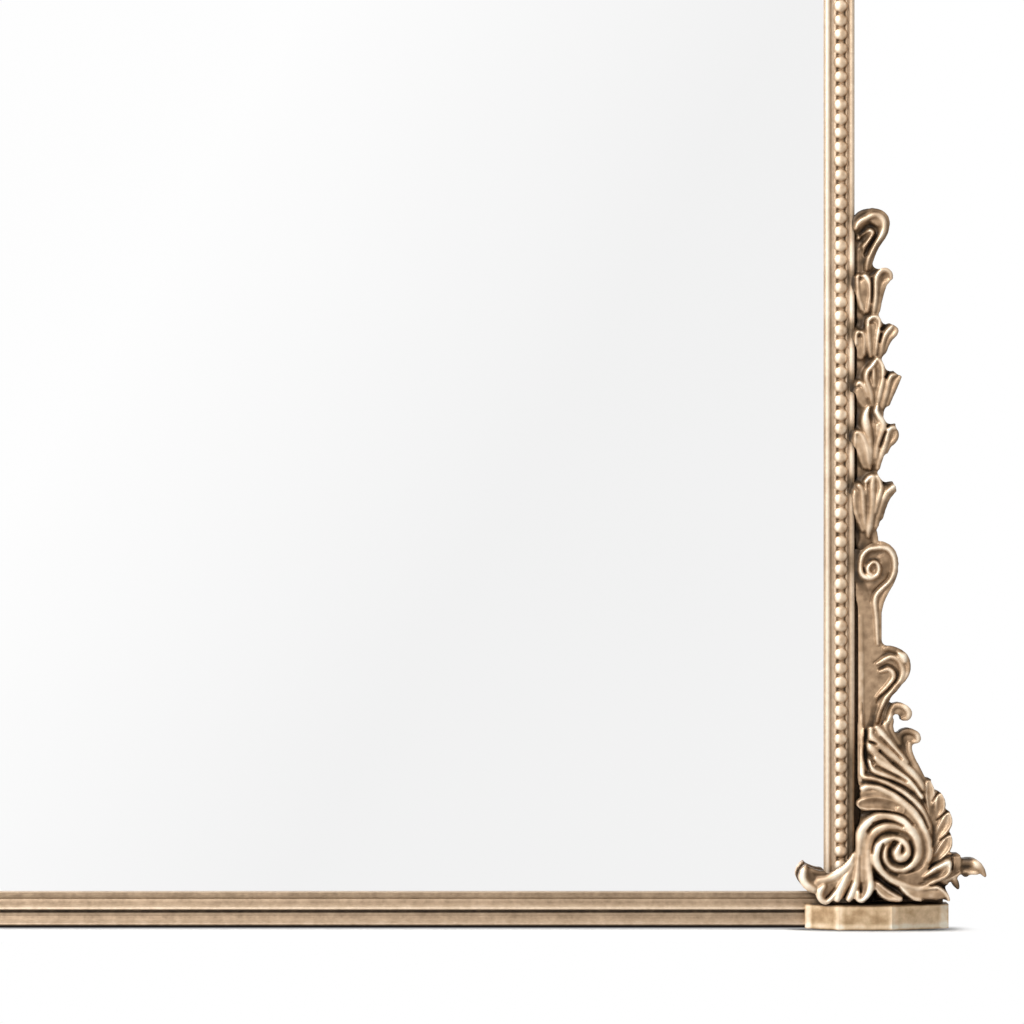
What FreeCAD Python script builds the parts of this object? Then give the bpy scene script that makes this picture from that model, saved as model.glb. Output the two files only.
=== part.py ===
import FreeCAD
import Part
import math
import os

# Arched mirror with a beaded frame, corner scrolls, side consoles and leaf drops.
# Millimetres. X runs to the viewer's right, Y runs back from the glass, Z runs up.
# The origin is on the floor, under the middle of the rail, in the glass's front face.

Vector = FreeCAD.Vector
os.makedirs("parts", exist_ok=True)

# Overall form of the frame
sight_half_width = 412.5
spring_height = 470.0
rail_height = 17.5
moulding_face = 15.0

# Layers from front to back
glass_thickness = 4.0
pad_thickness = 1.0
board_thickness = 9.0

# Moulding of the stiles and the arch, depths counted forward from the glass face
lip_width = 3.2
lip_shoulder_depth = 3.0
lip_crest_depth = 4.2
groove_depth = 2.4
roll_width = 2.7
roll_shoulder_depth = 4.8
roll_crest_depth = 6.2
rabbet_width = 5.0

# Moulding of the bottom rail: two stacked hollows, each flaring to a lip
rail_top_depth = 4.4
rail_roll_depth = 5.4
rail_roll_height = 3.3
rail_hollow_height = 4.0
rail_upper_lip_depth = 7.4
rail_lip_height = 1.3
rail_groove_depth = 5.6
rail_groove_height = 1.5
rail_fillet_depth = 6.6
rail_fillet_height = 1.5
rail_foot_height = 1.2
rail_foot_depth = 7.6
rail_lower_lip_depth = 9.0
rail_lip_swell = 0.5
rail_hollow_share = 0.3

# Pearl beads, on a thin strip that lies in the groove of the moulding
bead_radius = 3.4
bead_gap = 0.35
bead_strip_thickness = 0.8
bead_strip_gap = 0.9
bead_embed = 0.2
bead_end_margin = 6.0
pearl_side_count = 6
pearl_waist_share = 0.78
pearl_rise_share = 0.66

# Glass, its setting blocks and its mastic pads
glass_lap = 4.0
block_length = 30.0
mastic_radius = 20.0
mastic_side_inset = 132.5
mastic_first_rise = 102.5
mastic_last_rise = 90.0
mastic_row_count = 3
mastic_top_rise = 270.0
mastic_top_offset = 150.0

# Backing board
board_inset = 1.5

# Plinths under the corner scrolls
plinth_height = 12.0
plinth_inner_reach = 10.0
plinth_front_inset = 6.0
plinth_front_reach = 17.5
plinth_outer_reach = 46.5
plinth_side_depth = 10.0
plinth_front_depth = 22.0

# Carvings: one side of the square grid that they are drawn on, and their depths
carving_grid = 50.0
carving_gap = 0.6
console_depth = 4.5
drop_depth = 3.0
scroll_core_overlap = 1.4
hook_back = 2.0
stroke_step = 6.0
ridge_shoulder_share = 0.6

# Fasteners
dowel_radius = 2.5
dowel_half_length = 9.0
dowel_back = 1.0
plinth_dowel_half_length = 8.0
pin_clearance = 0.15
screw_radius = 1.5
screw_reach = 6.0
screw_head_radius = 3.0
screw_head_height = 2.0
rail_screw_side_count = 2
rail_screw_end_inset = 52.5
rail_screw_height = 6.0
stile_screw_count = 3
stile_screw_first_rise = 68.0
stile_screw_last_drop = 70.0
arch_screw_angles = (15, 45, 75)
plinth_screw_inner_inset = 14.5
plinth_screw_outer_reach = 32.5
plinth_screw_radius = 2.0
plinth_screw_reach = 16.0
plinth_screw_head_radius = 4.0
plinth_screw_head_height = 2.6

# Hangers on the back of the board
hanger_inset = 82.5
hanger_rise = 130.0
strap_width = 12.0
strap_length = 38.0
strap_thickness = 1.2
ring_wire_radius = 1.25
ring_radius = 11.0
knuckle_clearance = 0.35
knuckle_wall = 1.1
knuckle_lift = 0.2
hanger_screw_radius = 1.5
hanger_screw_head_radius = 2.8
hanger_screw_head_height = 1.5
hanger_screw_depth = 7.0
hanger_screw_count = 2
hanger_screw_first = 18.0
hanger_screw_pitch = 12.0

# Rubber bumpers that keep the board off the wall
bumper_radius = 6.0
bumper_thickness = 6.0
bumper_inset = 32.5
bumper_height = 24.0

half_turn = 180
quarter_turn = 90

# Places that follow from the sizes above
frame_half_width = sight_half_width + moulding_face
moulding_seat = (rabbet_width + moulding_face) / 2
bead_pitch = 2 * bead_radius + bead_gap
bead_line = (lip_width + moulding_face - roll_width) / 2
plinth_inner = sight_half_width - plinth_inner_reach
plinth_outer = frame_half_width + plinth_outer_reach
board_front = glass_thickness + pad_thickness
board_back = board_front + board_thickness
bead_front = groove_depth + bead_strip_thickness - bead_embed + bead_radius
scroll_back = bead_front + carving_gap


def save(shape, node):
    shape.exportStep("parts/" + node + ".step")


def mirrored(shape):
    return shape.mirror(Vector(0, 0, 0), Vector(1, 0, 0))


def prism(points, direction):
    wire = Part.makePolygon(points + [points[0]])
    return Part.Face(wire).extrude(direction)


def bar(radius, start, direction, length):
    return Part.makeCylinder(radius, length, start, direction)


def box_between(low, high):
    return Part.makeBox(high.x - low.x, high.y - low.y, high.z - low.z, low)


def line(first, second):
    return Part.LineSegment(first, second).toShape()


def arc(first, middle, last):
    return Part.Arc(first, middle, last).toShape()


# Moulding of the stiles and the arch

def moulding_wire():
    """Section of the moulding at the springing line, on the right of the mirror."""
    def at(out, depth):
        return Vector(sight_half_width + out, -depth, spring_height)
    roll_start = moulding_face - roll_width
    lip_in = at(0, lip_shoulder_depth)
    lip_top = at(lip_width / 2, lip_crest_depth)
    lip_out = at(lip_width, lip_shoulder_depth)
    roll_in = at(roll_start, roll_shoulder_depth)
    roll_top = at(moulding_face - roll_width / 2, roll_crest_depth)
    roll_out = at(moulding_face, roll_shoulder_depth)
    edges = [
        line(at(0, 0), lip_in),
        arc(lip_in, lip_top, lip_out),
        line(lip_out, at(lip_width, groove_depth)),
        line(at(lip_width, groove_depth), at(roll_start, groove_depth)),
        line(at(roll_start, groove_depth), roll_in),
        arc(roll_in, roll_top, roll_out),
        line(roll_out, at(moulding_face, -board_front)),
        line(at(moulding_face, -board_front), at(rabbet_width, -board_front)),
        line(at(rabbet_width, -board_front), at(rabbet_width, 0)),
        line(at(rabbet_width, 0), at(0, 0)),
    ]
    return Part.Wire(edges)


arch_centre = Vector(0, 0, spring_height)
arch_axis = Vector(0, -1, 0)
moulding = Part.Face(moulding_wire())
stile_run = Vector(0, 0, plinth_height - spring_height)
right_stile = moulding.extrude(stile_run)
right_arch = moulding.revolve(arch_centre, arch_axis, quarter_turn)


# Bottom rail

def rail_wire():
    def at(depth, height):
        return Vector(-sight_half_width, -depth, height)
    roll_foot = rail_height - rail_roll_height
    upper_lip = roll_foot - rail_hollow_height
    upper_lip_foot = upper_lip - rail_lip_height
    groove_foot = upper_lip_foot - rail_groove_height
    fillet_foot = groove_foot - rail_fillet_height
    lower_lip = rail_foot_height + rail_lip_height
    hollow_middle = roll_foot - rail_hollow_height / 2
    hollow_depth = rail_top_depth + (rail_upper_lip_depth - rail_top_depth) * rail_hollow_share
    foot_middle = (fillet_foot + lower_lip) / 2
    foot_depth = rail_fillet_depth + (rail_lower_lip_depth - rail_fillet_depth) * rail_hollow_share
    upper_lip_middle = upper_lip - rail_lip_height / 2
    lower_lip_middle = lower_lip - rail_lip_height / 2
    top_front = at(rail_top_depth, rail_height)
    roll_top = at(rail_roll_depth, rail_height - rail_roll_height / 2)
    roll_bottom = at(rail_top_depth, roll_foot)
    lip_high = at(rail_upper_lip_depth, upper_lip)
    lip_low = at(rail_upper_lip_depth, upper_lip_foot)
    groove_high = at(rail_groove_depth, upper_lip_foot)
    groove_low = at(rail_groove_depth, groove_foot)
    fillet_high = at(rail_fillet_depth, groove_foot)
    fillet_low = at(rail_fillet_depth, fillet_foot)
    foot_high = at(rail_lower_lip_depth, lower_lip)
    foot_low = at(rail_lower_lip_depth, rail_foot_height)
    back_low = at(-board_front, 0)
    rabbet_floor = rail_height - rabbet_width
    edges = [
        line(at(0, rail_height), top_front),
        arc(top_front, roll_top, roll_bottom),
        arc(roll_bottom, at(hollow_depth, hollow_middle), lip_high),
        arc(lip_high, at(rail_upper_lip_depth + rail_lip_swell, upper_lip_middle), lip_low),
        line(lip_low, groove_high),
        line(groove_high, groove_low),
        line(groove_low, fillet_high),
        line(fillet_high, fillet_low),
        arc(fillet_low, at(foot_depth, foot_middle), foot_high),
        arc(foot_high, at(rail_lower_lip_depth + rail_lip_swell, lower_lip_middle), foot_low),
        line(foot_low, at(rail_foot_depth, rail_foot_height)),
        line(at(rail_foot_depth, rail_foot_height), at(rail_foot_depth, 0)),
        line(at(rail_foot_depth, 0), back_low),
        line(back_low, at(-board_front, rabbet_floor)),
        line(at(-board_front, rabbet_floor), at(0, rabbet_floor)),
        line(at(0, rabbet_floor), at(0, rail_height)),
    ]
    return Part.Wire(edges)


bottom_rail = Part.Face(rail_wire()).extrude(Vector(2 * sight_half_width, 0, 0))


# Plinths: blocks with a canted face on each side of a flat front

plinth_points = [
    Vector(plinth_inner, board_front, 0),
    Vector(plinth_inner, -plinth_side_depth, 0),
    Vector(sight_half_width + plinth_front_inset, -plinth_front_depth, 0),
    Vector(frame_half_width + plinth_front_reach, -plinth_front_depth, 0),
    Vector(plinth_outer, -plinth_side_depth, 0),
    Vector(plinth_outer, board_front, 0),
]
right_plinth = prism(plinth_points, Vector(0, 0, plinth_height))
left_plinth = mirrored(right_plinth)
bottom_rail = bottom_rail.cut(right_plinth).cut(left_plinth)


# Carvings. Their points are in sides of the grid, counted out from the stile's outer
# edge and up from the plinth's top. Each stroke is rows of: across, up, half width, height.

def on_grid(across, up, depth):
    out = frame_half_width + across * carving_grid
    return Vector(out, -depth, plinth_height + up * carving_grid)


def stroke_section(centre, side, half_width, height):
    """Ridge section: a flat back, two short sides and a crest."""
    shoulder = Vector(0, -height * ridge_shoulder_share, 0)
    crest = Vector(0, -height, 0)
    edge = side * half_width
    return [
        centre - edge,
        centre + edge,
        centre + edge + shoulder,
        centre + crest,
        centre - edge + shoulder,
    ]


def faceted_loft(sections):
    """A loft in flat facets, which keeps the joins between crossing strokes clean."""
    faces = []
    for section in (sections[0], sections[-1]):
        faces.append(Part.Face(Part.makePolygon(section + [section[0]])))
    for low, high in zip(sections, sections[1:]):
        for here in range(len(low)):
            beside = (here + 1) % len(low)
            for corners in ([low[here], low[beside], high[beside]],
                            [low[here], high[beside], high[here]]):
                faces.append(Part.Face(Part.makePolygon(corners + [corners[0]])))
    solid = Part.makeSolid(Part.makeShell(faces))
    if solid.Volume < 0:
        solid.reverse()
    return solid


def stroke(row_shares, back):
    """A carved ridge along a curve through the rows' points."""
    points = [on_grid(row[0], row[1], back) for row in row_shares]
    path = Part.BSplineCurve()
    path.interpolate(points)
    marks = [path.parameter(point) for point in points]
    count = max(len(points), int(path.length() / stroke_step) + 1)
    sections = []
    for point in path.discretize(Number=count):
        mark = path.parameter(point)
        span = 0
        while span < len(marks) - 2 and mark > marks[span + 1]:
            span = span + 1
        part = (mark - marks[span]) / (marks[span + 1] - marks[span])
        low = row_shares[span]
        high = row_shares[span + 1]
        half_width = (low[2] + (high[2] - low[2]) * part) * carving_grid
        height = (low[3] + (high[3] - low[3]) * part) * carving_grid
        along = path.tangent(mark)[0]
        side = Vector(along.z, 0, -along.x)
        sections.append(stroke_section(point, side, half_width, height))
    return faceted_loft(sections)


def plate(stretch_shares, back, front):
    """A flat plate: its outline is a chain of lines and curves through the points."""
    edges = []
    for stretch in stretch_shares:
        points = [on_grid(across, up, -back) for across, up in stretch]
        if len(points) > 2:
            curve = Part.BSplineCurve()
            curve.interpolate(points)
            edges.append(curve.toShape())
        else:
            edges.append(line(points[0], points[1]))
    return Part.Face(Part.Wire(edges)).extrude(Vector(0, -(back + front), 0))


def joined(base, strokes):
    return base.multiFuse(strokes)


# Console: a narrow board with a volute at its head and an S scroll on its outer edge
console_outline_shares = [
    [(0.025, 0.0), (0.025, 3.10)],
    [(0.025, 3.10), (0.02, 3.36), (0.09, 3.53), (0.25, 3.60), (0.38, 3.53), (0.44, 3.38),
     (0.39, 3.20), (0.29, 3.03), (0.265, 2.90)],
    [(0.265, 2.90), (0.285, 2.57)],
    [(0.285, 2.57), (0.42, 2.54), (0.53, 2.45), (0.56, 2.32), (0.49, 2.19), (0.40, 2.09),
     (0.34, 1.99)],
    [(0.34, 1.99), (0.27, 1.84), (0.21, 1.66), (0.17, 1.40)],
    [(0.17, 1.40), (0.17, 0.0)],
    [(0.17, 0.0), (0.025, 0.0)],
]
console_volute_shares = [
    (0.245, 2.60, 0.022, 0.07), (0.225, 2.82, 0.025, 0.07), (0.215, 3.02, 0.025, 0.08),
    (0.29, 3.13, 0.025, 0.09), (0.37, 3.23, 0.028, 0.10), (0.405, 3.38, 0.03, 0.11),
    (0.35, 3.50, 0.03, 0.11), (0.24, 3.545, 0.03, 0.11), (0.12, 3.50, 0.03, 0.11),
    (0.055, 3.39, 0.028, 0.11), (0.075, 3.28, 0.026, 0.12), (0.155, 3.235, 0.025, 0.13),
    (0.225, 3.285, 0.024, 0.14), (0.22, 3.37, 0.022, 0.14), (0.165, 3.39, 0.02, 0.13),
]
console_scroll_shares = [
    (0.20, 2.39, 0.02, 0.06), (0.29, 2.45, 0.03, 0.09), (0.39, 2.475, 0.03, 0.11),
    (0.48, 2.43, 0.035, 0.13), (0.525, 2.32, 0.035, 0.13), (0.47, 2.20, 0.03, 0.11),
    (0.38, 2.10, 0.03, 0.10), (0.305, 1.97, 0.03, 0.09), (0.25, 1.80, 0.025, 0.07),
]
console_hook_shares = [
    (0.25, 2.30, 0.02, 0.06), (0.32, 2.33, 0.024, 0.08), (0.385, 2.30, 0.025, 0.09),
    (0.37, 2.21, 0.024, 0.08), (0.30, 2.11, 0.022, 0.07), (0.24, 2.01, 0.018, 0.05),
]
console_edge_shares = [
    (0.055, 1.30, 0.018, 0.05), (0.05, 2.00, 0.018, 0.05), (0.045, 2.98, 0.016, 0.04),
]

# Corner scroll: the core behind the leaves
scroll_core_shares = [
    [(0.03, 0.0), (0.03, 1.22)],
    [(0.03, 1.22), (0.17, 1.55)],
    [(0.17, 1.55), (0.36, 1.70), (0.50, 1.58), (0.64, 1.36), (0.76, 1.18), (0.88, 1.04),
     (0.95, 0.86), (0.96, 0.56)],
    [(0.96, 0.56), (0.94, 0.0)],
    [(0.94, 0.0), (0.03, 0.0)],
]
scroll_volute_shares = [
    (0.42, 0.575, 0.022, 0.28), (0.385, 0.51, 0.026, 0.29), (0.44, 0.45, 0.028, 0.30),
    (0.515, 0.505, 0.028, 0.29), (0.475, 0.61, 0.028, 0.27), (0.385, 0.645, 0.03, 0.26),
    (0.285, 0.62, 0.034, 0.26), (0.215, 0.53, 0.036, 0.27), (0.205, 0.41, 0.036, 0.27),
    (0.26, 0.30, 0.036, 0.26), (0.36, 0.215, 0.035, 0.24), (0.48, 0.17, 0.035, 0.22),
    (0.62, 0.165, 0.035, 0.20), (0.77, 0.215, 0.033, 0.19), (0.90, 0.28, 0.028, 0.17),
]
scroll_inner_shares = [
    (0.375, 0.64, 0.016, 0.20), (0.315, 0.58, 0.02, 0.22), (0.287, 0.50, 0.024, 0.22),
    (0.30, 0.42, 0.026, 0.22),
    (0.36, 0.355, 0.028, 0.22), (0.44, 0.335, 0.03, 0.22), (0.53, 0.365, 0.032, 0.22),
    (0.60, 0.45, 0.036, 0.22), (0.62, 0.56, 0.042, 0.23), (0.585, 0.68, 0.046, 0.24),
    (0.51, 0.78, 0.046, 0.24), (0.41, 0.84, 0.042, 0.23), (0.29, 0.86, 0.04, 0.21),
    (0.18, 0.835, 0.036, 0.19),
]
scroll_wrap_shares = [
    (0.53, 0.69, 0.02, 0.19), (0.46, 0.745, 0.024, 0.20), (0.36, 0.765, 0.028, 0.20),
    (0.25, 0.745, 0.034, 0.20), (0.165, 0.68, 0.04, 0.20), (0.13, 0.56, 0.042, 0.20),
    (0.12, 0.42, 0.045, 0.21), (0.12, 0.27, 0.05, 0.23), (0.11, 0.14, 0.052, 0.26),
    (0.09, 0.045, 0.035, 0.26),
]
scroll_leaf_shares = [
    # Fan that falls to the left, over the foot of the stile
    [(0.10, 0.80, 0.03, 0.18), (0.045, 0.67, 0.045, 0.19), (0.03, 0.52, 0.045, 0.20),
     (0.025, 0.34, 0.045, 0.21), (0.0, 0.17, 0.045, 0.24), (-0.05, 0.045, 0.03, 0.25)],
    [(0.03, 0.56, 0.03, 0.15), (-0.02, 0.42, 0.035, 0.16), (-0.08, 0.30, 0.038, 0.18),
     (-0.13, 0.17, 0.042, 0.22), (-0.18, 0.045, 0.03, 0.24)],
    [(0.0, 0.51, 0.03, 0.12), (-0.09, 0.37, 0.036, 0.13), (-0.18, 0.26, 0.042, 0.16),
     (-0.26, 0.14, 0.046, 0.20), (-0.32, 0.04, 0.03, 0.22)],
    [(-0.03, 0.44, 0.024, 0.09), (-0.14, 0.32, 0.035, 0.10), (-0.27, 0.235, 0.045, 0.12),
     (-0.39, 0.185, 0.05, 0.16), (-0.495, 0.19, 0.05, 0.22), (-0.54, 0.26, 0.045, 0.26),
     (-0.53, 0.35, 0.03, 0.26)],
    # Leaves that lie over the top of the volute
    [(0.06, 0.97, 0.03, 0.13), (0.21, 0.975, 0.045, 0.15), (0.36, 0.965, 0.045, 0.16),
     (0.49, 0.92, 0.045, 0.17), (0.60, 0.82, 0.042, 0.17), (0.67, 0.70, 0.038, 0.16),
     (0.72, 0.57, 0.036, 0.15), (0.73, 0.44, 0.034, 0.14), (0.68, 0.33, 0.03, 0.13)],
    [(0.08, 1.135, 0.024, 0.12), (0.24, 1.13, 0.036, 0.13), (0.40, 1.08, 0.038, 0.13),
     (0.54, 0.99, 0.036, 0.13), (0.64, 0.87, 0.034, 0.13), (0.72, 0.73, 0.03, 0.12),
     (0.77, 0.58, 0.026, 0.10)],
    [(0.08, 1.235, 0.024, 0.10), (0.24, 1.225, 0.03, 0.10), (0.39, 1.18, 0.032, 0.10),
     (0.52, 1.11, 0.032, 0.11), (0.63, 1.02, 0.03, 0.11), (0.72, 0.88, 0.026, 0.10)],
    # Upright fan
    [(0.16, 1.43, 0.03, 0.12), (0.27, 1.375, 0.036, 0.12), (0.41, 1.30, 0.036, 0.12),
     (0.54, 1.205, 0.034, 0.11), (0.66, 1.08, 0.028, 0.10)],
    [(0.16, 1.56, 0.03, 0.13), (0.25, 1.50, 0.034, 0.12), (0.37, 1.42, 0.035, 0.12),
     (0.50, 1.32, 0.034, 0.11), (0.62, 1.20, 0.03, 0.10), (0.71, 1.08, 0.024, 0.09)],
    [(0.20, 1.73, 0.034, 0.13), (0.29, 1.64, 0.038, 0.12), (0.41, 1.525, 0.036, 0.11),
     (0.53, 1.41, 0.034, 0.10), (0.64, 1.28, 0.03, 0.09), (0.73, 1.13, 0.024, 0.08)],
    # Leaflets on the outer edge
    [(0.73, 1.18, 0.03, 0.08), (0.76, 1.08, 0.045, 0.10), (0.78, 0.96, 0.035, 0.09)],
    [(0.87, 1.04, 0.03, 0.08), (0.85, 0.95, 0.045, 0.10), (0.80, 0.83, 0.035, 0.09)],
    [(0.955, 0.83, 0.03, 0.08), (0.90, 0.77, 0.05, 0.10), (0.82, 0.66, 0.035, 0.09)],
    [(0.96, 0.58, 0.035, 0.08), (0.89, 0.52, 0.05, 0.10), (0.79, 0.42, 0.035, 0.09)],
    # Leaf and lobes along the foot
    [(0.95, 0.395, 0.035, 0.20), (0.85, 0.345, 0.05, 0.20), (0.72, 0.275, 0.045, 0.19),
     (0.60, 0.23, 0.03, 0.17)],
    [(0.40, 0.16, 0.03, 0.16), (0.53, 0.09, 0.05, 0.20), (0.67, 0.085, 0.05, 0.21),
     (0.81, 0.085, 0.05, 0.21), (0.92, 0.06, 0.035, 0.19)],
    [(0.17, 0.25, 0.035, 0.14), (0.24, 0.15, 0.05, 0.17), (0.33, 0.085, 0.055, 0.19),
     (0.44, 0.05, 0.035, 0.18)],
]
scroll_hook_shares = [
    [(0.61, 1.615, 0.022, 0.16), (0.585, 1.675, 0.028, 0.18), (0.52, 1.70, 0.032, 0.18),
     (0.455, 1.65, 0.034, 0.18), (0.46, 1.56, 0.036, 0.18), (0.52, 1.45, 0.036, 0.18),
     (0.60, 1.33, 0.034, 0.18), (0.68, 1.20, 0.03, 0.18)],
    [(0.54, 1.845, 0.024, 0.16), (0.535, 1.915, 0.028, 0.18), (0.475, 1.95, 0.03, 0.18),
     (0.405, 1.92, 0.03, 0.18), (0.365, 1.84, 0.032, 0.18), (0.375, 1.74, 0.034, 0.18),
     (0.42, 1.63, 0.036, 0.18), (0.48, 1.50, 0.034, 0.18)],
    [(0.92, 0.36, 0.05, 0.30), (0.99, 0.42, 0.06, 0.30), (1.04, 0.37, 0.05, 0.28)],
    [(0.86, 0.17, 0.04, 0.28), (0.97, 0.24, 0.04, 0.28), (1.06, 0.33, 0.038, 0.28),
     (1.14, 0.385, 0.04, 0.28), (1.22, 0.365, 0.045, 0.28), (1.27, 0.29, 0.035, 0.26)],
    [(0.95, 0.23, 0.03, 0.24), (1.00, 0.17, 0.022, 0.22), (1.025, 0.14, 0.012, 0.18)],
]

# Leaf drop: a strip with husks of leaves, one above the other, and a curl at its head
drop_strip_shares = [
    [(0.025, 3.52), (0.025, 6.60)],
    [(0.025, 6.60), (0.14, 6.60)],
    [(0.14, 6.60), (0.17, 5.90), (0.20, 5.00), (0.23, 4.20), (0.24, 3.52)],
    [(0.24, 3.52), (0.025, 3.52)],
]
drop_stroke_shares = [
    # Lowest husk
    [(0.13, 3.64, 0.04, 0.08), (0.07, 3.82, 0.045, 0.11), (0.02, 3.99, 0.04, 0.15),
     (0.02, 4.11, 0.03, 0.17), (0.05, 4.17, 0.018, 0.16)],
    [(0.15, 3.66, 0.03, 0.09), (0.125, 3.88, 0.036, 0.12), (0.11, 4.06, 0.03, 0.15),
     (0.14, 4.20, 0.02, 0.16)],
    [(0.17, 3.68, 0.03, 0.09), (0.185, 3.92, 0.034, 0.12), (0.19, 4.12, 0.034, 0.15),
     (0.19, 4.25, 0.02, 0.16)],
    [(0.18, 3.62, 0.03, 0.08), (0.22, 3.82, 0.03, 0.10), (0.26, 3.98, 0.026, 0.12),
     (0.32, 4.10, 0.026, 0.15), (0.385, 4.16, 0.024, 0.17)],
    # Fourth husk
    [(0.15, 4.37, 0.035, 0.08), (0.09, 4.50, 0.04, 0.11), (0.035, 4.62, 0.035, 0.15),
     (0.02, 4.69, 0.02, 0.16)],
    [(0.165, 4.36, 0.03, 0.09), (0.13, 4.54, 0.034, 0.12), (0.09, 4.70, 0.036, 0.15),
     (0.09, 4.83, 0.03, 0.17), (0.135, 4.94, 0.014, 0.16)],
    [(0.195, 4.36, 0.03, 0.09), (0.22, 4.57, 0.034, 0.12), (0.255, 4.72, 0.032, 0.15),
     (0.25, 4.84, 0.026, 0.17), (0.215, 4.96, 0.014, 0.16)],
    [(0.21, 4.34, 0.03, 0.08), (0.26, 4.52, 0.028, 0.11), (0.32, 4.66, 0.028, 0.15),
     (0.38, 4.73, 0.028, 0.18), (0.41, 4.65, 0.024, 0.17)],
    # Third husk
    [(0.14, 4.98, 0.035, 0.08), (0.08, 5.07, 0.036, 0.11), (0.035, 5.15, 0.034, 0.15),
     (0.055, 5.215, 0.02, 0.15)],
    [(0.18, 4.99, 0.034, 0.09), (0.17, 5.13, 0.036, 0.12), (0.14, 5.26, 0.034, 0.15),
     (0.17, 5.37, 0.028, 0.16), (0.215, 5.44, 0.016, 0.16)],
    [(0.215, 4.99, 0.03, 0.08), (0.245, 5.14, 0.03, 0.11), (0.265, 5.27, 0.028, 0.14),
     (0.25, 5.38, 0.018, 0.15)],
    [(0.25, 4.98, 0.03, 0.08), (0.31, 5.12, 0.028, 0.11), (0.36, 5.22, 0.028, 0.15),
     (0.41, 5.28, 0.028, 0.17), (0.44, 5.23, 0.022, 0.16)],
    # Second husk
    [(0.09, 5.45, 0.035, 0.08), (0.045, 5.58, 0.034, 0.12), (0.03, 5.67, 0.03, 0.15),
     (0.05, 5.71, 0.02, 0.15)],
    [(0.15, 5.46, 0.034, 0.08), (0.14, 5.62, 0.03, 0.12), (0.14, 5.74, 0.03, 0.15),
     (0.18, 5.85, 0.022, 0.16)],
    [(0.205, 5.46, 0.03, 0.08), (0.225, 5.64, 0.026, 0.12), (0.23, 5.78, 0.024, 0.15)],
    [(0.26, 5.46, 0.028, 0.08), (0.29, 5.58, 0.026, 0.11), (0.335, 5.68, 0.028, 0.15),
     (0.385, 5.75, 0.026, 0.17), (0.41, 5.70, 0.022, 0.16)],
    # First husk
    [(0.11, 5.89, 0.034, 0.08), (0.06, 6.04, 0.03, 0.12), (0.035, 6.17, 0.026, 0.15),
     (0.055, 6.25, 0.018, 0.15)],
    [(0.15, 5.89, 0.034, 0.08), (0.135, 6.06, 0.03, 0.12), (0.13, 6.20, 0.028, 0.15),
     (0.10, 6.275, 0.018, 0.16)],
    [(0.20, 5.89, 0.028, 0.08), (0.225, 6.06, 0.024, 0.11), (0.25, 6.21, 0.024, 0.15),
     (0.30, 6.30, 0.026, 0.17), (0.35, 6.255, 0.022, 0.16)],
]
drop_curl_shares = [
    [(0.125, 6.30, 0.03, 0.20), (0.15, 6.44, 0.03, 0.22), (0.215, 6.56, 0.032, 0.24),
     (0.29, 6.69, 0.036, 0.27), (0.29, 6.81, 0.038, 0.28), (0.205, 6.89, 0.036, 0.29),
     (0.10, 6.875, 0.034, 0.29), (0.05, 6.80, 0.026, 0.28)],
    [(0.08, 6.36, 0.03, 0.20), (0.115, 6.50, 0.03, 0.22), (0.18, 6.63, 0.028, 0.23),
     (0.17, 6.71, 0.026, 0.23), (0.09, 6.69, 0.024, 0.22), (0.06, 6.62, 0.018, 0.20)],
]


right_console = joined(
    plate(console_outline_shares, board_front, console_depth),
    [stroke(console_volute_shares, console_depth - scroll_core_overlap),
     stroke(console_scroll_shares, console_depth - scroll_core_overlap),
     stroke(console_hook_shares, console_depth - scroll_core_overlap),
     stroke(console_edge_shares, console_depth - scroll_core_overlap)],
)

scroll_strokes = [
    stroke(scroll_volute_shares, scroll_back),
    stroke(scroll_inner_shares, scroll_back),
    stroke(scroll_wrap_shares, scroll_back),
]
for shares in scroll_leaf_shares:
    scroll_strokes.append(stroke(shares, scroll_back))
for shares in scroll_hook_shares:
    scroll_strokes.append(stroke(shares, hook_back))
scroll_core = plate(scroll_core_shares, board_front, scroll_back + scroll_core_overlap)
right_scroll = joined(scroll_core, scroll_strokes)

drop_strokes = []
for shares in drop_stroke_shares:
    drop_strokes.append(stroke(shares, drop_depth - scroll_core_overlap))
for shares in drop_curl_shares:
    drop_strokes.append(stroke(shares, -board_front))
right_drop = joined(plate(drop_strip_shares, board_front, drop_depth), drop_strokes)

right_scroll = right_scroll.cut(right_console)
right_drop = right_drop.cut(right_console).cut(right_stile)


# Bead strips: pearls on a thin strip, along the stile and round the arch

bead_circle = sight_half_width + bead_line
strip_front = groove_depth + bead_strip_thickness
bead_depth = strip_front - bead_embed


def pearl(out, height):
    """A pearl in flat facets: a ring of sides and a ring of facets up to its point."""
    def ring(reach, depth):
        corners = []
        for index in range(pearl_side_count):
            turn = 2 * math.pi * index / pearl_side_count
            corners.append(Vector(out + reach * math.cos(turn), -depth, height + reach * math.sin(turn)))
        return corners
    base = ring(bead_radius, bead_depth)
    waist = ring(bead_radius * pearl_waist_share, bead_depth + bead_radius * pearl_rise_share)
    point = Vector(out, -(bead_depth + bead_radius), height)
    faces = [Part.Face(Part.makePolygon(base + [base[0]]))]
    for here in range(pearl_side_count):
        beside = (here + 1) % pearl_side_count
        side = [base[here], base[beside], waist[beside], waist[here], base[here]]
        facet = [waist[here], waist[beside], point, waist[here]]
        faces.append(Part.Face(Part.makePolygon(side)))
        faces.append(Part.Face(Part.makePolygon(facet)))
    return Part.makeSolid(Part.makeShell(faces))


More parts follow.
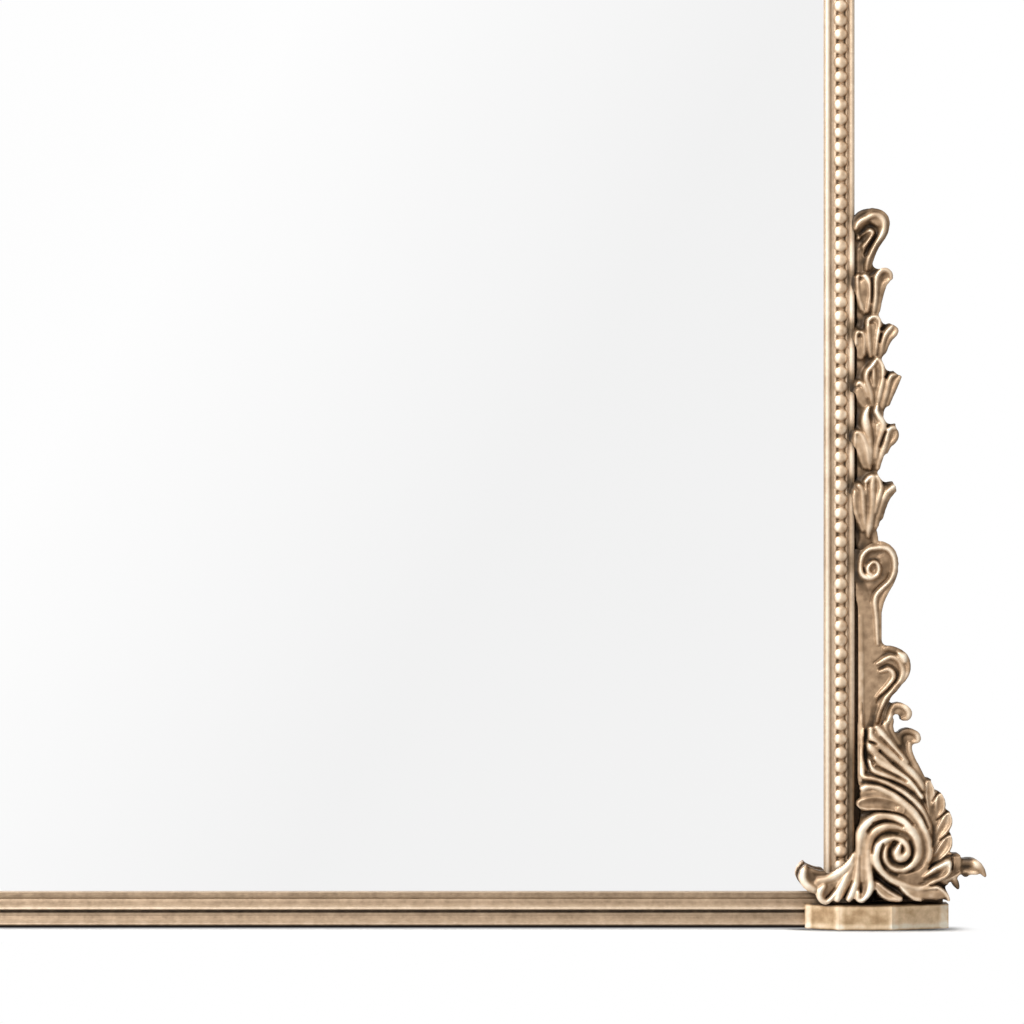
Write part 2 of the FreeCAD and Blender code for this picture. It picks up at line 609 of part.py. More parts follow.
def strip_face(height):
    inner = sight_half_width + lip_width + bead_strip_gap
    outer = frame_half_width - roll_width - bead_strip_gap
    corners = [
        Vector(inner, -groove_depth, height),
        Vector(inner, -strip_front, height),
        Vector(outer, -strip_front, height),
        Vector(outer, -groove_depth, height),
    ]
    return Part.Face(Part.makePolygon(corners + [corners[0]]))


def stile_beads():
    foot = plinth_height + bead_end_margin
    strip = strip_face(foot).extrude(Vector(0, 0, spring_height - foot))
    count = int((spring_height - foot) / bead_pitch)
    pearls = []
    for index in range(count):
        pearls.append(pearl(bead_circle, spring_height - bead_pitch * (index + 0.5)))
    return strip.multiFuse(pearls)


def arch_beads():
    strip = strip_face(spring_height).revolve(arch_centre, arch_axis, quarter_turn)
    count = round(math.radians(quarter_turn) * bead_circle / bead_pitch)
    step = math.radians(quarter_turn) / count
    pearls = []
    for index in range(count):
        angle = step * (index + 0.5)
        out = bead_circle * math.cos(angle)
        pearls.append(pearl(out, spring_height + bead_circle * math.sin(angle)))
    return strip.multiFuse(pearls)


right_beads = stile_beads()
right_arch_beads = arch_beads()


# Glass, setting blocks and mastic

def arched_face(half_width, foot, depth):
    """Upright face with a flat foot and a half round head, at a place in depth."""
    low_left = Vector(-half_width, depth, foot)
    low_right = Vector(half_width, depth, foot)
    high_left = Vector(-half_width, depth, spring_height)
    high_right = Vector(half_width, depth, spring_height)
    crown = Vector(0, depth, spring_height + half_width)
    edges = [
        line(low_left, low_right),
        line(low_right, high_right),
        arc(high_right, crown, high_left),
        line(high_left, low_left),
    ]
    return Part.Face(Part.Wire(edges))


glass_foot = rail_height - glass_lap
rabbet_floor = rail_height - rabbet_width
glass_face = arched_face(sight_half_width + glass_lap, glass_foot, 0)
mirror_glass = glass_face.extrude(Vector(0, glass_thickness, 0))

setting_blocks = []
for side in (-1, 1):
    start = side * sight_half_width / 2 - block_length / 2
    low = Vector(start, 0, rabbet_floor)
    high = Vector(start + block_length, glass_thickness, glass_foot)
    setting_blocks.append(box_between(low, high))

mastic_places = []
mastic_first = rail_height + mastic_first_rise
mastic_last = spring_height + mastic_last_rise
mastic_row_pitch = (mastic_last - mastic_first) / (mastic_row_count - 1)
for row in range(mastic_row_count):
    for column in (-1, 0, 1):
        out = column * (sight_half_width - mastic_side_inset)
        mastic_places.append((out, mastic_first + row * mastic_row_pitch))
for side in (-1, 1):
    mastic_places.append((side * mastic_top_offset, spring_height + mastic_top_rise))
back_way = Vector(0, 1, 0)
mirror_mastic = []
for out, height in mastic_places:
    start = Vector(out, glass_thickness, height)
    mirror_mastic.append(bar(mastic_radius, start, back_way, pad_thickness))


# Backing board, with an ear on each side behind the carvings
ear_outline_shares = [
    (-0.10, 0.0), (0.90, 0.0), (0.91, 0.56), (0.90, 0.84), (0.83, 1.00), (0.70, 1.15),
    (0.46, 1.53), (0.30, 1.62), (0.22, 1.80), (0.24, 2.05), (0.23, 2.95), (0.21, 3.50),
    (0.18, 4.30), (0.15, 5.60), (0.14, 6.40), (-0.10, 6.40),
]
board_face = arched_face(frame_half_width - board_inset, 0, board_front)
backing_board = board_face.extrude(Vector(0, board_thickness, 0))
ear_points = [on_grid(across, up, -board_front) for across, up in ear_outline_shares]
right_ear = prism(ear_points, Vector(0, board_thickness, 0))
foot_low = Vector(frame_half_width - moulding_face, board_front, 0)
foot_high = Vector(plinth_outer - board_inset, board_back, plinth_height)
right_ear = right_ear.fuse(box_between(foot_low, foot_high))
backing_board = backing_board.multiFuse([right_ear, mirrored(right_ear)]).removeSplitter()


# Dowels: stile to plinth, stile to arch and one at the crown
dowel_out = sight_half_width + moulding_seat
up_way = Vector(0, 0, 1)
out_way = Vector(1, 0, 0)


# Each dowel stands on the floor of its hole, with the clearance round it and past its end
dowel_places = []
for side in (-1, 1):
    foot = Vector(side * dowel_out, dowel_back, plinth_height)
    spring = Vector(side * dowel_out, dowel_back, spring_height)
    dowel_places.append((foot, up_way, plinth_dowel_half_length))
    dowel_places.append((spring, up_way, dowel_half_length))
crown = Vector(0, dowel_back, spring_height + dowel_out)
dowel_places.append((crown, out_way, dowel_half_length))
frame_dowels = []
dowel_holes = []
for centre, way, half_length in dowel_places:
    start = centre - way * half_length
    frame_dowels.append(bar(dowel_radius, start, way, 2 * half_length))
    hole_length = 2 * half_length + pin_clearance
    dowel_holes.append(bar(dowel_radius + pin_clearance, start, way, hole_length))


# Screws through the board, driven from the back

front_way = Vector(0, -1, 0)


def screw(place, radius, reach, head_radius, head_height):
    """Countersunk screw, its head flush with the back of the board."""
    out, height = place
    head = Part.makeCone(head_radius, radius, head_height, Vector(out, board_back, height), front_way)
    shank_start = Vector(out, board_back - head_height, height)
    shank = bar(radius, shank_start, front_way, board_thickness - head_height + reach)
    return head.fuse(shank)


def screw_hole(place, radius, reach, head_radius, head_height):
    out, height = place
    head = Part.makeCone(head_radius, radius, head_height, Vector(out, board_back, height), front_way)
    start = Vector(out, board_back, height)
    length = board_thickness + reach + pin_clearance
    return head.fuse(bar(radius + pin_clearance, start, front_way, length))


carving_screw_shares = [
    (0.12, 2.20), (0.12, 3.30), (0.50, 0.35), (0.60, 1.00), (0.10, 4.00), (0.075, 6.20),
]
rail_screw_pitch = (sight_half_width - rail_screw_end_inset) / rail_screw_side_count
stile_screw_first = plinth_height + stile_screw_first_rise
stile_screw_run = spring_height - stile_screw_last_drop - stile_screw_first
rail_screws = []
for index in range(-rail_screw_side_count, rail_screw_side_count + 1):
    rail_screws.append((index * rail_screw_pitch, rail_screw_height))
right_screws = []
screw_circle = sight_half_width + moulding_seat
for index in range(stile_screw_count):
    height = stile_screw_first + index * stile_screw_run / (stile_screw_count - 1)
    right_screws.append((screw_circle, height))
for angle in arch_screw_angles:
    out = screw_circle * math.cos(math.radians(angle))
    right_screws.append((out, spring_height + screw_circle * math.sin(math.radians(angle))))
for across, up in carving_screw_shares:
    place = on_grid(across, up, 0)
    right_screws.append((place.x, place.z))
right_plinth_screws = []
for reach in (-plinth_screw_inner_inset, plinth_screw_outer_reach):
    right_plinth_screws.append((frame_half_width + reach, plinth_height / 2))


def on_both_sides(places):
    return places + [(-out, height) for out, height in places]


board_screws = []
board_screw_holes = []
for place in rail_screws + on_both_sides(right_screws):
    sizes = (screw_radius, screw_reach, screw_head_radius, screw_head_height)
    board_screws.append(screw(place, *sizes))
    board_screw_holes.append(screw_hole(place, *sizes))
plinth_screws = []
plinth_screw_holes = []
for place in on_both_sides(right_plinth_screws):
    sizes = (plinth_screw_radius, plinth_screw_reach,
             plinth_screw_head_radius, plinth_screw_head_height)
    plinth_screws.append(screw(place, *sizes))
    plinth_screw_holes.append(screw_hole(place, *sizes))


# Hangers: a strap with a knuckle, and a D ring that turns in it
hanger_offset = sight_half_width - hanger_inset
hanger_height = spring_height + hanger_rise
knuckle_bore = ring_wire_radius + knuckle_clearance
knuckle_radius = knuckle_bore + knuckle_wall
ring_depth = board_back + knuckle_radius + knuckle_lift


def hanger_strap():
    low = Vector(hanger_offset - strap_width / 2, board_back, hanger_height - strap_length)
    high = Vector(hanger_offset + strap_width / 2, board_back + strap_thickness, hanger_height)
    knuckle_start = Vector(hanger_offset - strap_width / 2, ring_depth, hanger_height)
    knuckle = bar(knuckle_radius, knuckle_start, out_way, strap_width)
    bore = bar(knuckle_bore, knuckle_start, out_way, strap_width)
    strap = box_between(low, high).fuse(knuckle)
    return strap.cut(bore)


def hanger_ring():
    """D ring, hanging: a half hoop of wire, closed by a bar through the knuckle."""
    centre = Vector(hanger_offset, ring_depth, hanger_height)
    start = Vector(hanger_offset + ring_radius, ring_depth, hanger_height)
    hoop_section = Part.Face(Part.Wire(Part.makeCircle(ring_wire_radius, start, up_way)))
    hoop = hoop_section.revolve(centre, back_way, half_turn)
    bar_start = Vector(hanger_offset - ring_radius, ring_depth, hanger_height)
    pin = bar(ring_wire_radius, bar_start, out_way, 2 * ring_radius)
    ends = [Part.makeSphere(ring_wire_radius, bar_start), Part.makeSphere(ring_wire_radius, start)]
    return hoop.multiFuse([pin] + ends)


def hanger_screw(radius, out, height):
    seat = Vector(out, board_back + strap_thickness, height)
    shank = bar(radius, seat, front_way, strap_thickness + hanger_screw_depth)
    return shank


right_strap = hanger_strap()
right_ring = hanger_ring()
hanger_screws = []
hanger_screw_holes = []
for side in (-1, 1):
    for index in range(hanger_screw_count):
        out = side * hanger_offset
        height = hanger_height - hanger_screw_first - index * hanger_screw_pitch
        seat = Vector(out, board_back + strap_thickness, height)
        head = bar(hanger_screw_head_radius, seat, back_way, hanger_screw_head_height)
        hanger_screws.append(hanger_screw(hanger_screw_radius, out, height).fuse(head))
        hole = hanger_screw(hanger_screw_radius + pin_clearance, out, height)
        hanger_screw_holes.append(hole)

wall_bumpers = []
for side in (-1, 1):
    start = Vector(side * (sight_half_width - bumper_inset), board_back, bumper_height)
    wall_bumpers.append(bar(bumper_radius, start, back_way, bumper_thickness))


def drilled(shape):
    """The shape with every screw and dowel hole that reaches it."""
    for hole in board_screw_holes + plinth_screw_holes + dowel_holes:
        if shape.BoundBox.intersect(hole.BoundBox):
            shape = shape.cut(hole)
    return shape


right_pieces = {
    "stile": drilled(right_stile),
    "arch_rail": drilled(right_arch),
    "bead_strip": right_beads,
    "arch_beads": right_arch_beads,
    "plinth": drilled(right_plinth),
    "corner_scroll": drilled(right_scroll),
    "console": drilled(right_console),
    "leaf_drop": drilled(right_drop),
    "hanger_strap": right_strap.cut(Part.makeCompound(hanger_screw_holes)),
    "hanger_ring": right_ring,
}
for name, shape in right_pieces.items():
    save(shape, "right_" + name)
    save(mirrored(shape), "left_" + name)

save(drilled(bottom_rail), "bottom_rail")
save(mirror_glass, "mirror_glass")
save(drilled(backing_board).cut(Part.makeCompound(hanger_screw_holes)), "backing_board")

groups = {
    "setting_blocks": setting_blocks,
    "mirror_mastic": mirror_mastic,
    "frame_dowels": frame_dowels,
    "board_screws": board_screws,
    "plinth_screws": plinth_screws,
    "hanger_screws": hanger_screws,
    "wall_bumpers": wall_bumpers,
}
for node, solids in groups.items():
    save(Part.makeCompound(solids), node)
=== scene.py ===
"""Looks of the arched mirror.

The mouldings, plinths, glass, board and hangers keep their CAD meshes and take procedural finishes. The
carvings and the pearls are modelled again in finer relief over their CAD nodes.
"""
import math

import bpy
import numpy as np
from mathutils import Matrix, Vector


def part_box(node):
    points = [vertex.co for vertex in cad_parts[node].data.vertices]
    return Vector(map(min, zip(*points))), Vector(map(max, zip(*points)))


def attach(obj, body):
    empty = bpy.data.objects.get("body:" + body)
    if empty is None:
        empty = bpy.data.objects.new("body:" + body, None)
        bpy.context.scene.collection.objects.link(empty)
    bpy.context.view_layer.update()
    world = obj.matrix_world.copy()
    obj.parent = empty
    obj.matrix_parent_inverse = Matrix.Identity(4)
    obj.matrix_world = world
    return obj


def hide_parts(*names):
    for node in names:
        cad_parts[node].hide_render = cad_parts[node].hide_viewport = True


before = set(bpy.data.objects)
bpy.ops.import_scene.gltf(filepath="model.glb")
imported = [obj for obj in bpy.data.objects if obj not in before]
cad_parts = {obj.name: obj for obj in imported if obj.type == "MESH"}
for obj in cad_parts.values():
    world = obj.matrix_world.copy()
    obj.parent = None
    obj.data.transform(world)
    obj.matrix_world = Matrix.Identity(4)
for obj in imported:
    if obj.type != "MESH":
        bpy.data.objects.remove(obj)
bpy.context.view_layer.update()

scene = bpy.context.scene
random_source = np.random.default_rng(7)

# Places taken from the frame, in metres.
stile_low, stile_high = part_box("right_stile")
plinth_low, plinth_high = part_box("right_plinth")
bead_low, bead_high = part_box("right_bead_strip")
board_low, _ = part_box("backing_board")
_, rail_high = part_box("bottom_rail")

sight_half_width = stile_low.x
frame_half_width = stile_high.x
moulding_face = frame_half_width - sight_half_width
spring_height = stile_high.z
carving_foot = plinth_high.z
carving_back = board_low.y
roll_front = stile_low.y

# The carvings are drawn on a square grid that starts at the stile's outer edge and the plinth's top.
carving_grid = 0.049875
carving_lift = 0.00087
stile_gap = 0.0003

# Fineness of the relief, and how its strokes are joined and rounded, in shares of the grid.
relief_cell = 0.006
stroke_spacing = 0.004
body_reach = 0.03
body_sink = 0.012
edge_reach = 0.007

# Height of a cell without relief, the least weight of a mean, and how often the outline is evened out.
nothing = -9.0
least_weight = 1e-6
outline_rounds = 6

# Tones run from 0, dark patina and painted shade, to 1, worn bright and painted light. The reaches are in
# shares of the grid.
scroll_core_tone = 0.10
tip_tone = 0.37
console_core_tone = 0.43
drop_core_tone = 0.12
back_tone = 0.20
gap_tone = 0.27
body_shade = 0.10
flank_shade = 0.22
rim_light = 0.20
fine_reach = 0.014
fine_gain = 5.2
wide_reach = 0.06
wide_gain = 1.5
stain_reach = 0.022
stain_gain = 0.05
darkest_tone = 0.075
tone_span = 0.83

# The tables below hold thousandths of the grid, and tones in hundredths.
grid_parts = 1000
tone_parts = 100


def outline(table):
    """The points of an outline, across and up, in shares of the grid."""
    return [(x / grid_parts, y / grid_parts) for x, y in table]


def strokes(table):
    """Strokes as rows of across, up, half width and height in front of the glass, in shares, and tone."""
    return [
        [(*(value / grid_parts for value in shares), tone / tone_parts) for *shares, tone in rows]
        for rows in table
    ]


scroll_core_outline = outline([
    (50, 20), (20, 300), (30, 620), (60, 900), (60, 1180), (100, 1260), (100, 1500), (140, 1700),
    (240, 1760), (360, 1660), (450, 1600), (550, 1460), (660, 1300), (720, 1200), (800, 1080), (860, 920),
    (900, 740), (910, 540), (950, 400), (950, 250), (905, 180), (905, 130), (925, 60), (900, 30),
    (800, 30), (600, 30), (400, 30),
])
scroll_core_height = 0.15

# Block of the turned back tip.
tip_outline = outline([
    (930, 474), (980, 484), (1035, 486), (1052, 465), (1055, 400), (1050, 330), (1030, 280), (980, 250),
    (930, 240),
])
tip_height = 0.25

scroll_rolls = strokes([
    # Volute, from its eye outwards and away along the foot.
    [(432, 585, 17, 395, 80), (415, 540, 27, 405, 92), (402, 495, 35, 410, 84), (428, 455, 36, 410, 82),
     (480, 462, 36, 405, 74), (514, 512, 33, 400, 70), (497, 578, 26, 395, 80), (447, 630, 24, 390, 90),
     (377, 651, 20, 385, 65), (300, 632, 24, 385, 85), (240, 590, 30, 390, 100), (203, 530, 34, 395, 100),
     (191, 465, 36, 395, 95), (203, 400, 34, 390, 90), (240, 335, 30, 385, 80), (295, 277, 28, 380, 75),
     (355, 230, 28, 378, 75), (420, 200, 30, 376, 70), (490, 175, 30, 374, 60), (560, 155, 28, 372, 60),
     (630, 147, 26, 370, 75), (700, 170, 22, 366, 70), (770, 213, 20, 362, 66), (850, 246, 18, 358, 62),
     (905, 280, 17, 356, 62), (935, 330, 17, 356, 72), (940, 370, 18, 356, 85)],
    # Band between the turns, running out over the volute's head and down the fan's left edge.
    [(345, 620, 16, 340, 60), (310, 570, 20, 345, 65), (290, 515, 22, 350, 70), (287, 455, 22, 355, 70),
     (310, 400, 22, 355, 70), (352, 357, 22, 355, 72), (412, 333, 22, 355, 75), (475, 333, 23, 355, 78),
     (535, 362, 26, 358, 85), (582, 412, 32, 362, 85), (612, 478, 38, 366, 75), (617, 550, 40, 370, 75),
     (603, 620, 42, 372, 80), (568, 690, 44, 372, 95), (525, 755, 42, 370, 100), (475, 810, 36, 366, 100),
     (415, 845, 32, 360, 85), (345, 865, 32, 352, 55), (265, 873, 34, 346, 55), (195, 853, 34, 344, 65),
     (135, 815, 32, 346, 95), (80, 755, 34, 350, 100), (45, 680, 34, 352, 95), (35, 600, 30, 354, 80),
     (30, 500, 26, 356, 70)],
    # Lip that wraps the volute, falls to the foot and turns up round the fan's right lobe.
    [(500, 700, 20, 345, 73), (465, 735, 26, 350, 68), (410, 762, 30, 350, 60), (340, 768, 32, 350, 64),
     (270, 757, 32, 350, 70), (205, 725, 34, 350, 63), (162, 675, 36, 352, 58), (135, 610, 38, 356, 56),
     (122, 520, 38, 360, 60), (120, 430, 36, 364, 66), (123, 340, 34, 370, 70), (135, 250, 32, 378, 80),
     (143, 180, 32, 386, 97), (128, 115, 30, 392, 97), (95, 60, 26, 396, 97), (55, 30, 22, 398, 93),
     (15, 45, 20, 396, 97), (20, 110, 18, 390, 83)],
    # Rims of the middle and left lobes of the fan.
    [(25, 500, 18, 350, 61), (15, 360, 24, 362, 68), (0, 230, 30, 375, 82), (-25, 150, 32, 385, 91),
     (-50, 90, 30, 392, 96), (-75, 40, 24, 396, 88)],
    [(-20, 400, 16, 345, 58), (-60, 320, 22, 352, 64), (-105, 245, 30, 365, 78), (-140, 175, 33, 378, 88),
     (-172, 110, 33, 388, 96), (-190, 40, 26, 395, 91)],
    [(-165, 170, 16, 372, 76), (-210, 95, 20, 384, 86), (-255, 45, 20, 392, 86), (-300, 15, 22, 395, 81),
     (-345, 30, 24, 397, 91), (-368, 75, 26, 398, 96), (-360, 130, 24, 396, 96),
     (-320, 175, 20, 385, 71)],
    # Leaf that runs to the left curl, its upper edge, and the curl's rim.
    [(-20, 480, 16, 340, 80), (-55, 410, 24, 352, 95), (-105, 350, 30, 360, 100),
     (-165, 305, 34, 364, 100), (-225, 265, 34, 366, 85), (-300, 235, 34, 366, 72),
     (-370, 215, 40, 364, 62), (-400, 170, 36, 360, 60)],
    [(-470, 348, 14, 352, 34), (-420, 320, 18, 352, 34), (-365, 304, 18, 350, 30),
     (-310, 300, 16, 350, 34)],
    [(-494, 374, 12, 385, 40), (-515, 338, 20, 395, 85), (-532, 295, 28, 405, 100),
     (-535, 250, 32, 410, 100), (-515, 205, 34, 412, 92), (-475, 165, 34, 412, 82),
     (-430, 140, 30, 410, 75)],
    # Band that carries the console's inner edge on round the scroll.
    [(68, 2000, 12, 104, 55), (67, 1800, 14, 135, 60), (66, 1600, 16, 175, 66), (65, 1450, 18, 200, 75),
     (70, 1330, 22, 220, 85), (75, 1265, 22, 235, 80), (115, 1245, 20, 250, 60), (180, 1237, 20, 262, 55),
     (250, 1220, 21, 270, 58), (330, 1185, 22, 276, 65), (400, 1145, 24, 280, 75),
     (460, 1110, 25, 283, 85), (520, 1065, 26, 285, 90), (575, 1020, 26, 286, 90),
     (630, 965, 25, 286, 85), (670, 910, 24, 284, 70), (705, 845, 22, 280, 60), (735, 775, 20, 276, 50),
     (760, 700, 18, 270, 45)],
    # Upper ridge of the broad leaf over the volute.
    [(75, 1140, 26, 315, 95), (115, 1158, 26, 320, 80), (170, 1160, 25, 322, 70),
     (235, 1145, 25, 325, 70), (300, 1115, 26, 328, 75), (360, 1080, 27, 330, 78),
     (420, 1040, 28, 332, 75), (480, 990, 30, 334, 75), (540, 940, 31, 335, 80), (595, 880, 31, 335, 90),
     (640, 815, 30, 334, 95), (675, 750, 29, 332, 90), (705, 680, 28, 330, 80), (730, 600, 28, 326, 70),
     (740, 520, 28, 320, 68), (725, 440, 28, 316, 60), (680, 365, 26, 310, 52), (620, 300, 24, 305, 45)],
    # Rims of the upright fan, from the bottom up.
    [(135, 1410, 18, 285, 82), (150, 1355, 20, 288, 82), (190, 1315, 21, 290, 82),
     (245, 1290, 21, 290, 77), (310, 1265, 21, 290, 69), (380, 1240, 21, 288, 57),
     (450, 1210, 21, 286, 49), (520, 1175, 21, 284, 47), (580, 1130, 20, 282, 42)],
    [(200, 1440, 20, 290, 72), (255, 1395, 28, 292, 77), (320, 1360, 33, 294, 79),
     (390, 1320, 34, 295, 79), (450, 1280, 34, 295, 85), (510, 1235, 32, 294, 92),
     (565, 1185, 30, 292, 92), (610, 1135, 27, 290, 97), (640, 1090, 24, 288, 97),
     (660, 1050, 18, 286, 87)],
    [(135, 1565, 24, 285, 97), (170, 1530, 34, 287, 62), (220, 1480, 40, 288, 52),
     (280, 1440, 30, 286, 57), (350, 1395, 22, 284, 57)],
    [(155, 1730, 22, 278, 82), (147, 1685, 24, 280, 87), (165, 1645, 26, 282, 87),
     (215, 1595, 28, 284, 72), (270, 1550, 29, 285, 69), (330, 1500, 30, 285, 69),
     (390, 1455, 30, 284, 69), (450, 1405, 30, 282, 72), (510, 1350, 30, 280, 79),
     (565, 1295, 29, 278, 89), (615, 1240, 27, 276, 87), (655, 1185, 24, 274, 77),
     (675, 1130, 18, 270, 57)],
    [(215, 1745, 22, 275, 82), (250, 1705, 26, 277, 87), (290, 1655, 28, 278, 82),
     (335, 1600, 28, 278, 82), (380, 1545, 27, 276, 79), (425, 1495, 26, 274, 77),
     (470, 1445, 24, 272, 72), (510, 1400, 20, 270, 62)],
    # Upper hook and its stem.
    [(475, 1830, 16, 190, 35), (525, 1845, 24, 210, 70), (540, 1895, 26, 220, 80),
     (510, 1940, 26, 220, 78), (455, 1965, 24, 210, 55), (400, 1960, 24, 200, 45),
     (365, 1920, 26, 195, 50), (355, 1865, 24, 195, 72), (325, 1810, 22, 200, 72),
     (300, 1760, 22, 210, 66), (315, 1700, 22, 215, 50), (350, 1640, 22, 220, 48),
     (400, 1560, 22, 225, 45), (450, 1490, 20, 230, 40)],
    [(370, 1820, 20, 180, 50), (360, 1760, 22, 185, 50), (370, 1700, 22, 190, 48),
     (400, 1640, 22, 195, 45), (440, 1580, 22, 200, 42)],
    # Lower hook and its stem.
    [(590, 1600, 16, 190, 60), (630, 1620, 22, 210, 75), (620, 1675, 24, 215, 65),
     (565, 1705, 24, 210, 40), (500, 1705, 24, 200, 25), (455, 1670, 26, 190, 15),
     (450, 1610, 28, 185, 18), (475, 1545, 30, 185, 25), (510, 1480, 26, 185, 35)],
    [(545, 1585, 20, 195, 60), (545, 1520, 24, 200, 62), (565, 1450, 26, 205, 62),
     (605, 1370, 26, 210, 60), (650, 1290, 24, 210, 55), (690, 1220, 20, 210, 50)],
    # Upper rim of the leaf below the leaflets.
    [(670, 260, 12, 345, 45), (720, 295, 16, 352, 60), (770, 335, 19, 358, 90), (820, 360, 19, 360, 80),
     (870, 385, 23, 362, 85), (920, 400, 26, 362, 97), (940, 370, 20, 360, 88)],
    # Turned back tip, outer curl, its small ring and the lower hook.
    [(850, 215, 12, 310, 50), (900, 225, 15, 310, 62), (950, 245, 15, 305, 68), (1000, 268, 14, 295, 62),
     (1045, 300, 12, 285, 55)],
    [(870, 205, 14, 300, 52), (910, 195, 14, 300, 50)],
    [(1080, 390, 32, 240, 18), (1140, 395, 34, 250, 25), (1200, 385, 44, 275, 85),
     (1250, 340, 38, 275, 60), (1292, 270, 20, 265, 50)],
    [(1060, 300, 18, 230, 55), (1110, 305, 16, 235, 55), (1150, 295, 18, 240, 65),
     (1210, 295, 22, 250, 75)],
    [(980, 250, 22, 300, 75), (1000, 205, 26, 290, 35), (1020, 150, 18, 270, 20)],
    # Rim of the band along the foot.
    [(440, 165, 14, 372, 75), (490, 115, 18, 378, 82), (535, 75, 18, 380, 82), (580, 50, 18, 380, 75),
     (640, 36, 16, 378, 60)],
    [(640, 135, 12, 372, 60), (720, 148, 14, 376, 60), (800, 158, 16, 380, 70), (845, 138, 16, 380, 75),
     (885, 105, 16, 379, 80), (912, 65, 15, 376, 80), (922, 30, 12, 372, 70)],
    # Edges of the leaf at the volute's foot.
    [(190, 150, 16, 350, 62), (250, 85, 20, 356, 66), (320, 45, 20, 360, 60), (430, 35, 20, 362, 72)],
    [(230, 190, 16, 350, 55), (300, 130, 18, 356, 55), (380, 80, 18, 360, 60), (450, 45, 18, 362, 66)],
])

scroll_leaves = strokes([
    # Right lobe of the fan and the broad leaf over the volute's head.
    [(75, 660, 40, 335, 52), (70, 500, 50, 345, 54), (70, 350, 56, 355, 54), (70, 220, 56, 360, 48),
     (55, 120, 40, 350, 30)],
    [(60, 985, 42, 325, 50), (120, 990, 60, 330, 40), (200, 995, 66, 335, 33), (290, 985, 62, 336, 30),
     (370, 965, 55, 336, 29), (440, 930, 50, 334, 29)],
    # Leaflets along the outer edge.
    [(735, 1190, 24, 232, 62), (745, 1120, 40, 236, 56), (750, 1050, 42, 234, 56),
     (750, 980, 32, 228, 50), (760, 880, 22, 218, 34)],
    [(845, 1060, 28, 222, 66), (850, 1000, 44, 226, 54), (842, 930, 46, 224, 52), (815, 860, 34, 220, 46),
     (790, 780, 22, 212, 32)],
    [(925, 860, 32, 222, 64), (912, 800, 52, 226, 54), (880, 740, 52, 224, 52), (835, 670, 38, 220, 48),
     (795, 580, 24, 212, 32)],
    [(930, 635, 34, 222, 64), (908, 570, 52, 226, 54), (868, 510, 52, 226, 54), (820, 450, 40, 226, 52),
     (760, 370, 30, 226, 46), (700, 310, 20, 226, 36)],
])

